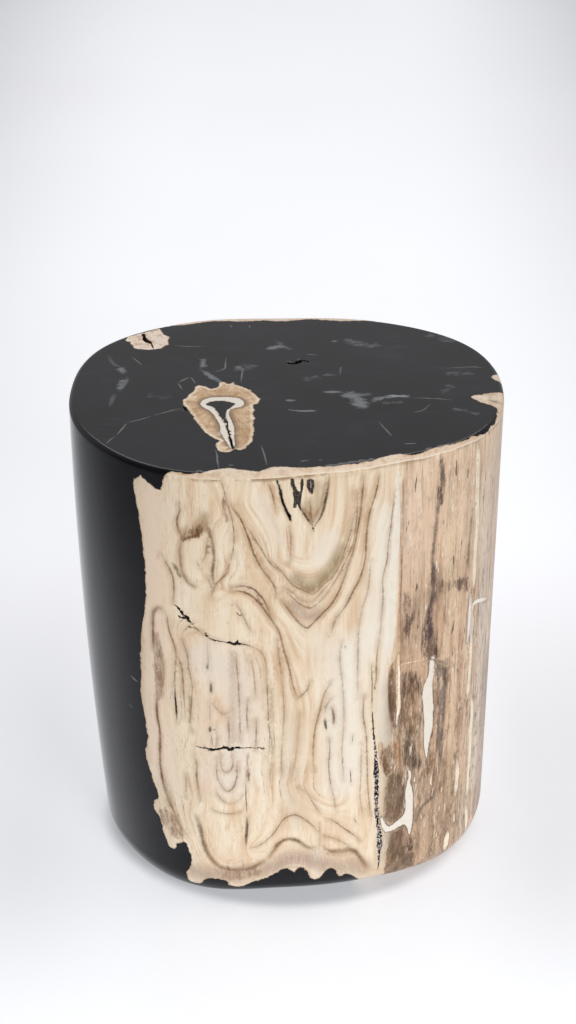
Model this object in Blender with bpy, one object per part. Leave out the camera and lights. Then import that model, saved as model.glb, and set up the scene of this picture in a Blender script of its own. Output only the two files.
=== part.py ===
"""A petrified wood stool: one upright block of fossil trunk, sawn flat at both ends and polished.

Metres, +Z up. The origin is on the floor, under the middle of the block's box.
Bearings are in degrees, from +X towards +Y, seen from the trunk's heart; the front is at 270.
"""

import math

import bmesh
import bpy
from mathutils import Vector

# Driving dimensions
HEIGHT = 0.450
ARRIS_RADIUS = 0.0045
FOOT_RADIUS = 0.032

# The trunk's radius every 30 degrees, just under the seat and just above the floor
SEAT_RADII = (0.200, 0.201, 0.182, 0.165, 0.178, 0.191, 0.188, 0.195, 0.198, 0.177, 0.177, 0.199)
FOOT_RADII = (0.196, 0.198, 0.180, 0.164, 0.170, 0.177, 0.171, 0.174, 0.176, 0.159, 0.166, 0.192)

# How far the wall bellies out at half height: all round, more to the left, more to the front
BELLY_MEAN = 0.002
BELLY_LEFT = 0.002
BELLY_FRONT = 0.001

# How finely the curves are cut into facets
SEGMENTS = 96
WALL_RINGS = 12
ARRIS_STEPS = 3
FOOT_STEPS = 6

# Cracks in the wall. Each station is bearing, height, half the width at the surface, depth.
WALL_CRACKS = {
    "shoulder_crack": (
        (241.8, 0.3240, 0.0003, 0.003),
        (243.2, 0.3180, 0.0012, 0.008),
        (244.6, 0.3145, 0.0009, 0.007),
        (245.6, 0.3085, 0.0017, 0.010),
        (247.2, 0.3040, 0.0013, 0.009),
        (249.4, 0.2950, 0.0004, 0.003),
    ),
    "seam_crack": (
        (252.5, 0.2892, 0.0003, 0.003),
        (255.8, 0.2872, 0.0008, 0.006),
        (257.9, 0.2858, 0.0013, 0.008),
        (260.6, 0.2838, 0.0008, 0.006),
        (264.0, 0.2790, 0.0003, 0.003),
    ),
    "level_crack": (
        (246.5, 0.1762, 0.0003, 0.003),
        (249.5, 0.1748, 0.0012, 0.009),
        (252.4, 0.1738, 0.0018, 0.012),
        (254.7, 0.1770, 0.0014, 0.010),
        (258.3, 0.1757, 0.0017, 0.011),
        (261.0, 0.1748, 0.0006, 0.006),
        (264.9, 0.1741, 0.0003, 0.003),
    ),
    "crystal_fissure": (
        (297.8, 0.2260, 0.0004, 0.003),
        (298.4, 0.1990, 0.0012, 0.008),
        (299.0, 0.1750, 0.0020, 0.011),
        (300.7, 0.1455, 0.0030, 0.014),
        (301.3, 0.1076, 0.0030, 0.014),
        (301.7, 0.0780, 0.0026, 0.013),
        (303.0, 0.0510, 0.0038, 0.014),
        (303.0, 0.0300, 0.0014, 0.010),
        (303.0, 0.0150, 0.0005, 0.004),
    ),
}

# Open voids in the seat. Each has a depth and an outline of x, y on the seat, in order.
SEAT_VOIDS = {
    "heart_void": (0.010, (
        (-0.0027, 0.0519), (0.0082, 0.0522), (0.0164, 0.0496), (0.0174, 0.0554),
        (0.0135, 0.0600), (0.0142, 0.0672), (0.0098, 0.0680), (0.0046, 0.0601),
    )),
    "left_knot_void": (0.014, (
        (-0.1370, 0.1250), (-0.1378, 0.1175), (-0.1341, 0.1101), (-0.1325, 0.1010),
        (-0.1270, 0.1000), (-0.1262, 0.1050), (-0.1297, 0.1145), (-0.1322, 0.1135), (-0.1345, 0.1190),
    )),
    "knot_slit": (0.007, (
        (-0.0518, -0.0780), (-0.0523, -0.0920), (-0.0502, -0.1060),
        (-0.0476, -0.1190), (-0.0452, -0.1200), (-0.0470, -0.1060), (-0.0486, -0.0920),
    )),
    "knot_pit": (0.006, (
        (-0.0915, -0.0375), (-0.0920, -0.0425), (-0.0868, -0.0430), (-0.0860, -0.0390),
    )),
}

# A cutter stands this far out of the surface, and a void's floor is this much smaller than its mouth
CUTTER_LIFT = 0.004
VOID_FLOOR_SCALE = 0.45

STONE_COLOR = (0.62, 0.50, 0.37, 1.0)
STONE_ROUGHNESS = 0.22


def clearScene():
    for item in list(bpy.data.objects):
        bpy.data.objects.remove(item)


def radiusAt(radii, bearing):
    """The smooth closed curve through evenly spaced radii."""
    count = len(radii)
    place = (bearing % 360.0) / 360.0 * count
    index = int(place)
    t = place - index
    before = radii[(index - 1) % count]
    start = radii[index % count]
    end = radii[(index + 1) % count]
    after = radii[(index + 2) % count]
    slope = (end - before) * t
    bend = (2 * before - 5 * start + 4 * end - after) * t * t
    twist = (3 * start - before - 3 * end + after) * t * t * t
    return 0.5 * (2 * start + slope + bend + twist)


def wallRadius(bearing, height):
    """The wall's radius between the foot rounding and the arris."""
    angle = math.radians(bearing)
    top = HEIGHT - ARRIS_RADIUS
    down = (top - height) / (top - FOOT_RADIUS)
    seat = radiusAt(SEAT_RADII, bearing)
    foot = radiusAt(FOOT_RADII, bearing)
    belly = BELLY_MEAN - BELLY_LEFT * math.cos(angle) - BELLY_FRONT * math.sin(angle)
    return seat + (foot - seat) * down + belly * 4 * down * (1 - down)


def profile():
    """Rings from the seat's edge to the floor: a height, and how far in from the wall each is."""
    rings = []
    for step in range(ARRIS_STEPS + 1):
        turn = math.radians(90.0 * step / ARRIS_STEPS)
        inset = ARRIS_RADIUS * (1 - math.sin(turn))
        rings.append((HEIGHT - ARRIS_RADIUS * (1 - math.cos(turn)), inset))
    top = HEIGHT - ARRIS_RADIUS
    for step in range(1, WALL_RINGS + 1):
        rings.append((top + (FOOT_RADIUS - top) * step / WALL_RINGS, 0.0))
    for step in range(1, FOOT_STEPS + 1):
        turn = math.radians(90.0 * step / FOOT_STEPS)
        inset = FOOT_RADIUS * (1 - math.cos(turn))
        rings.append((FOOT_RADIUS * (1 - math.sin(turn)), inset))
    return rings


def polar(bearing, radius, height):
    angle = math.radians(bearing)
    return Vector((radius * math.cos(angle), radius * math.sin(angle), height))


def ringPoints(height, inset):
    level = min(max(height, FOOT_RADIUS), HEIGHT - ARRIS_RADIUS)
    points = []
    for segment in range(SEGMENTS):
        bearing = 360.0 * segment / SEGMENTS
        points.append(polar(bearing, wallRadius(bearing, level) - inset, height))
    return points


def heartPlace():
    """Where the trunk's heart goes so that the block's box is centred on the origin."""
    points = []
    for height, inset in profile():
        points.extend(ringPoints(height, inset))
    middleX = (min(p.x for p in points) + max(p.x for p in points)) / 2
    middleY = (min(p.y for p in points) + max(p.y for p in points)) / 2
    return Vector((-middleX, -middleY, 0.0))


def addObject(name, mesh):
    item = bpy.data.objects.new(name, mesh)
    bpy.context.scene.collection.objects.link(item)
    return item


def meshFrom(bm, name):
    bmesh.ops.recalc_face_normals(bm, faces=bm.faces[:])
    mesh = bpy.data.meshes.new(name)
    bm.to_mesh(mesh)
    bm.free()
    return mesh


def addRing(bm, points):
    verts = [bm.verts.new(point) for point in points]
    edges = []
    for index, vert in enumerate(verts):
        edges.append(bm.edges.new((vert, verts[(index + 1) % len(verts)])))
    return edges


def makeBlock(heart):
    """The trunk as rings bridged one to the next, with a flat seat and a flat base."""
    bm = bmesh.new()
    rings = []
    for height, inset in profile():
        rings.append(addRing(bm, [point + heart for point in ringPoints(height, inset)]))
    for upper, lower in zip(rings, rings[1:]):
        bmesh.ops.bridge_loops(bm, edges=upper + lower)
    bmesh.ops.contextual_create(bm, geom=rings[0])
    bmesh.ops.contextual_create(bm, geom=rings[-1])
    return addObject("petrified_block", meshFrom(bm, "petrified_block"))


def asCutter(item):
    item.hide_render = True
    item.display_type = "WIRE"
    return item


def makeCrackCutter(name, stations, heart):
    """A wedge that follows the crack, widest outside the wall and sharp at its depth."""
    bm = bmesh.new()
    sections = []
    for index, (bearing, height, halfWidth, depth) in enumerate(stations):
        before = stations[max(index - 1, 0)]
        after = stations[min(index + 1, len(stations) - 1)]
        radius = wallRadius(bearing, max(height, FOOT_RADIUS))
        along = math.radians(after[0] - before[0]) * radius
        rise = after[1] - before[1]
        length = math.hypot(along, rise)
        outward = polar(bearing, 1.0, 0.0)
        sideways = Vector((-outward.y, outward.x, 0.0))
        across = (sideways * -rise + Vector((0.0, 0.0, along))) / length
        surface = polar(bearing, radius, height) + heart
        mouth = halfWidth * (depth + CUTTER_LIFT) / depth
        outer = surface + outward * CUTTER_LIFT
        corners = (outer + across * mouth, outer - across * mouth, surface - outward * depth)
        sections.append(addRing(bm, corners))
    for start, end in zip(sections, sections[1:]):
        bmesh.ops.bridge_loops(bm, edges=start + end)
    bmesh.ops.contextual_create(bm, geom=sections[0])
    bmesh.ops.contextual_create(bm, geom=sections[-1])
    return asCutter(addObject(name, meshFrom(bm, name)))


def makeVoidCutter(name, depth, outline):
    """A tapering plug whose mouth has the void's outline where it meets the seat."""
    bm = bmesh.new()
    middle = sum((Vector((x, y, 0.0)) for x, y in outline), Vector()) / len(outline)
    taper = (1 - VOID_FLOOR_SCALE) / depth
    rings = []
    for height in (HEIGHT + CUTTER_LIFT, HEIGHT - depth):
        scale = 1 + taper * (height - HEIGHT)
        points = [middle + (Vector((x, y, 0.0)) - middle) * scale for x, y in outline]
        rings.append(addRing(bm, [point + Vector((0.0, 0.0, height)) for point in points]))
    bmesh.ops.bridge_loops(bm, edges=rings[0] + rings[1])
    bmesh.ops.contextual_create(bm, geom=rings[0])
    bmesh.ops.contextual_create(bm, geom=rings[1])
    return asCutter(addObject(name, meshFrom(bm, name)))


def cut(block, cutter):
    modifier = block.modifiers.new(cutter.name, "BOOLEAN")
    modifier.operation = "DIFFERENCE"
    modifier.solver = "EXACT"
    modifier.object = cutter


def stoneMaterial():
    material = bpy.data.materials.new("petrified_wood")
    material.use_nodes = True
    surface = material.node_tree.nodes["Principled BSDF"]
    surface.inputs["Base Color"].default_value = STONE_COLOR
    surface.inputs["Roughness"].default_value = STONE_ROUGHNESS
    surface.inputs["Metallic"].default_value = 0.0
    return material


def makeStool():
    clearScene()
    heart = heartPlace()
    block = makeBlock(heart)
    block.data.materials.append(stoneMaterial())
    for name, stations in WALL_CRACKS.items():
        cut(block, makeCrackCutter(name, stations, heart))
    for name, (depth, outline) in SEAT_VOIDS.items():
        cut(block, makeVoidCutter(name, depth, outline))
    block.data.shade_smooth()
    block.data.set_sharp_from_angle(angle=math.radians(30.0))


makeStool()
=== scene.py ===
import math

import bmesh
import bpy
import numpy as np
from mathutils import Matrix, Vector
from mathutils.bvhtree import BVHTree
from mathutils.geometry import delaunay_2d_cdt
from mathutils.kdtree import KDTree


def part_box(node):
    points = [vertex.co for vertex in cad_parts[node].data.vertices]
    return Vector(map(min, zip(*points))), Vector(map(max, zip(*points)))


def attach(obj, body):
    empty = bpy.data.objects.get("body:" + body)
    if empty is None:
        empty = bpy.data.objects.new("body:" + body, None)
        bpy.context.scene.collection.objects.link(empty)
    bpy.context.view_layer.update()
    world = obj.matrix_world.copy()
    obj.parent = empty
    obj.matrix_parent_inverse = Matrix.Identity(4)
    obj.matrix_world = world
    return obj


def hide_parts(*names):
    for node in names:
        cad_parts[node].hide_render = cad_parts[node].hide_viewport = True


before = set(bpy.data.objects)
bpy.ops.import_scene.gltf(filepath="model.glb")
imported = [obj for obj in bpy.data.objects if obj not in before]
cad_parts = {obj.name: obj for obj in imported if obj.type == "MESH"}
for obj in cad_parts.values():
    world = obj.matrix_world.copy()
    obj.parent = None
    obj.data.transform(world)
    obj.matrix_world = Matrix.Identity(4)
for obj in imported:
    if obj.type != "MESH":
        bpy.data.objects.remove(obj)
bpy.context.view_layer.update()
print("frame loaded")

# Camera, at the photograph's viewing angle. Pixels are those of the 576 x 1024 frame.

camera = {
    "pitch": 27.0,                      # degrees down
    "focalPixels": 2200.0,
    "frameWide": 576,
    "frameHigh": 1024,
    "place": (0.0009, -1.8008, 1.2447),
}


def addObject(name, data):
    item = bpy.data.objects.new(name, data)
    bpy.context.scene.collection.objects.link(item)
    return item


def makeCamera():
    data = bpy.data.cameras.new("studioCamera")
    data.sensor_width = 36.0
    data.lens = camera["focalPixels"] * data.sensor_width / camera["frameHigh"]
    data.clip_end = 50.0
    item = addObject("studioCamera", data)
    item.location = camera["place"]
    item.rotation_euler = (math.radians(90.0 - camera["pitch"]), 0.0, 0.0)
    bpy.context.scene.camera = item


def pixelRay(x, y):
    pitch = math.radians(camera["pitch"])
    right = (x - camera["frameWide"] / 2) / camera["focalPixels"]
    down = (y - camera["frameHigh"] / 2) / camera["focalPixels"]
    ahead = Vector((0.0, math.cos(pitch), -math.sin(pitch)))
    up = Vector((0.0, math.sin(pitch), math.cos(pitch)))
    return (ahead + Vector((right, 0.0, 0.0)) - up * down).normalized()


makeCamera()

# The block's skin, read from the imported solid. A place on it is (u, t): u counts the solid's segments
# round from +X, and t runs down its profile in metres, from the seat's edge. On the seat t is negative.

block = {
    "node": "petrified_block",
    "slot": "petrified_wood",
    "arris": 0.0045,
    "foot": 0.032,
    "segments": 96,
}
low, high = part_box(block["node"])
seatHeight = high.z
arrisRun = block["arris"] * math.pi / 2
wallRun = seatHeight - block["arris"] - block["foot"]
footRun = block["foot"] * math.pi / 2
skinRun = arrisRun + wallRun + footRun


def readRing(points, height):
    # the solid's own corners at one height, in order, without those that a crack adds
    found = points[np.abs(points[:, 2] - height) < 2e-5][:, :2]
    found = found[np.argsort(np.arctan2(found[:, 1], found[:, 0]) % (2 * np.pi))]
    while len(found) > block["segments"]:
        gaps = np.linalg.norm(found - np.roll(found, 1, axis=0), axis=1)
        found = np.delete(found, np.argmin(gaps + np.roll(gaps, -1)), axis=0)
    return found


def readRings():
    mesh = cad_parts[block["node"]].data
    points = np.zeros(len(mesh.vertices) * 3)
    mesh.vertices.foreach_get("co", points)
    points = points.reshape(-1, 3)
    levels = (seatHeight - block["arris"], (seatHeight - block["arris"] + block["foot"]) / 2, block["foot"])
    rings = [readRing(points, level) for level in levels]
    half, quarter = block["segments"] // 2, block["segments"] // 4
    aligned = []
    for ring in rings:
        best = min(range(-3, 4), key=lambda k: abs(ring[k, 1] - ring[k + half, 1])
                   + abs(ring[k + quarter, 0] - ring[(k + half + quarter) % len(ring), 0]))
        aligned.append(np.roll(ring, -best, axis=0))
    seat, waist, foot = aligned
    heart = np.array([seat[quarter, 0], seat[0, 1]])
    return seat, foot, waist - (seat + foot) / 2, heart


seatRing, footRing, bellyRing, heart = readRings()
print("skin read from the solid:", len(seatRing), "segments, heart at", np.round(heart, 4))


def curveThrough(before, start, end, after, part):
    # a smooth curve from start to end, part of the way along
    bend = (2 * before - 5 * start + 4 * end - after) * part ** 2
    twist = (3 * start - before - 3 * end + after) * part ** 3
    return 0.5 * (2 * start + (end - before) * part + bend + twist)


def aroundRing(ring, u):
    index = np.floor(u).astype(int)
    corners = [ring[(index + k) % len(ring)] for k in (-1, 0, 1, 2)]
    return curveThrough(*corners, (u - index)[:, None])


def skin(u, t):
    # points in space for arrays of u and t; past the seat's edge and the foot's they run inwards, level
    u, t = np.asarray(u, float), np.asarray(t, float)
    arris = np.clip(t, 0, arrisRun) / block["arris"]
    foot = np.clip(t - arrisRun - wallRun, 0, footRun) / block["foot"]
    onWall = np.clip(t - arrisRun, 0, wallRun)
    height = seatHeight - block["arris"] * (1 - np.cos(arris)) - onWall - block["foot"] * np.sin(foot)
    inset = block["arris"] * (1 - np.sin(arris)) + block["foot"] * (1 - np.cos(foot))
    inset = inset + np.clip(-t, 0, None) + np.clip(t - skinRun, 0, None)
    down = (onWall / wallRun)[:, None]
    level = aroundRing(seatRing, u) * (1 - down) + aroundRing(footRing, u) * down
    level = level + aroundRing(bellyRing, u) * 4 * down * (1 - down)
    outward = np.stack([np.cos(turnOf(u)), np.sin(turnOf(u))], axis=1)
    flat = level - outward * inset[:, None]
    return np.column_stack([flat, height])


def skinNormals(u, t):
    step = 2e-4
    along = skin(u + 0.02, t) - skin(u - 0.02, t)
    down = skin(u, np.clip(t + step, 0, skinRun)) - skin(u, np.clip(t - step, 0, skinRun))
    normal = np.cross(down, along)
    normal /= np.maximum(np.linalg.norm(normal, axis=1), 1e-12)[:, None]
    normal[t <= 0] = (0, 0, 1)
    normal[t >= skinRun] = (0, 0, -1)
    return normal


def uTowards(flat):
    # the u of places that are given from the heart
    return (np.arctan2(flat[:, 1], flat[:, 0]) % (2 * np.pi)) * block["segments"] / (2 * np.pi)


def turnOf(u):
    return u * 2 * np.pi / block["segments"]


def uFromBearing(bearing):
    return np.asarray(bearing, float) * block["segments"] / 360


def bearingOf(u):
    # degrees, from -90 at the front round by the right side and the back to 270
    return (u * 360 / block["segments"] + 90) % 360 - 90


def edgeRadius(u, t=0.0):
    # how far from the heart the skin is, at the seat's edge or another t
    edge = skin(u, np.full(len(u), t))[:, :2] - heart
    return np.hypot(edge[:, 0], edge[:, 1])


def placeOnSkin(points):
    # the (u, t) of points that lie on the skin
    flat = points[:, :2] - heart
    u = uTowards(flat)
    radius = np.hypot(flat[:, 0], flat[:, 1])
    z = points[:, 2]
    t = arrisRun + (seatHeight - block["arris"] - z)
    onArris = z > seatHeight - block["arris"]
    t[onArris] = block["arris"] * np.arccos(np.clip(1 - (seatHeight - z[onArris]) / block["arris"], 0, 1))
    onFoot = z < block["foot"]
    t[onFoot] = arrisRun + wallRun + block["foot"] * np.arcsin(np.clip(1 - z[onFoot] / block["foot"], 0, 1))
    onSeat = z > seatHeight - 1e-5
    t[onSeat] = np.minimum(radius[onSeat] - edgeRadius(u)[onSeat], 0)
    return u, t


def makeTarget():
    # a plain copy of the skin that the camera's rays are cast at
    around = np.arange(0, block["segments"], 0.5)
    runs = np.concatenate([
        [-0.08, 0], np.linspace(0, arrisRun, 7)[1:], np.linspace(arrisRun, arrisRun + wallRun, 50)[1:],
        np.linspace(arrisRun + wallRun, skinRun, 13)[1:]])
    points = np.concatenate([skin(around, np.full(len(around), run)) for run in runs])
    faces = []
    count = len(around)
    for ring in range(len(runs) - 1):
        for k in range(count):
            upper = (ring * count + k, ring * count + (k + 1) % count)
            faces.append((upper[0], upper[0] + count, upper[1] + count, upper[1]))
    faces.append(tuple(range(count)))
    return BVHTree.FromPolygons([tuple(p) for p in points], faces)


target = makeTarget()


def onSkin(pixels):
    # points in space under pixels of the photograph
    eye = Vector(camera["place"])
    found = []
    for x, y in pixels:
        hit = target.ray_cast(eye, pixelRay(x, y))[0]
        if hit is not None:
            found.append(tuple(hit))
    return np.array(found).reshape(-1, 3)


def smoothLine(points, step, closed=False):
    # a smooth curve through the points, read every step
    points = np.asarray(points, float)
    if closed:
        points = np.concatenate([points[-1:], points, points[:2]])
    else:
        points = np.concatenate([2 * points[:1] - points[1:2], points, 2 * points[-1:] - points[-2:-1]])
    found = []
    for k in range(1, len(points) - 2):
        before, start, end, after = points[k - 1:k + 3]
        pieces = max(int(np.ceil(np.linalg.norm(end - start) / step)), 1)
        part = (np.arange(pieces) / pieces)[:, None]
        found.append(curveThrough(before, start, end, after, part))
    if not closed:
        found.append(points[-2:-1])
    return np.concatenate(found)


def waver(count, seed, scale):
    # a gentle random walk, the same each run
    chance = np.random.default_rng(seed)
    rough = np.zeros(count)
    for period, share in ((17, 1.0), (7, 0.6), (3, 0.35)):
        knots = chance.uniform(-1, 1, count // period + 3)
        rough += share * np.interp(np.arange(count) / period, np.arange(len(knots)), knots)
    return rough * scale


# Marks that a hand could draw on the stone. Each is a line of pixels of the photograph, left or top end
# first. They are sorted by how they look: half is half their width and soft the blur of their edge, in
# millimetres.

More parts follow.
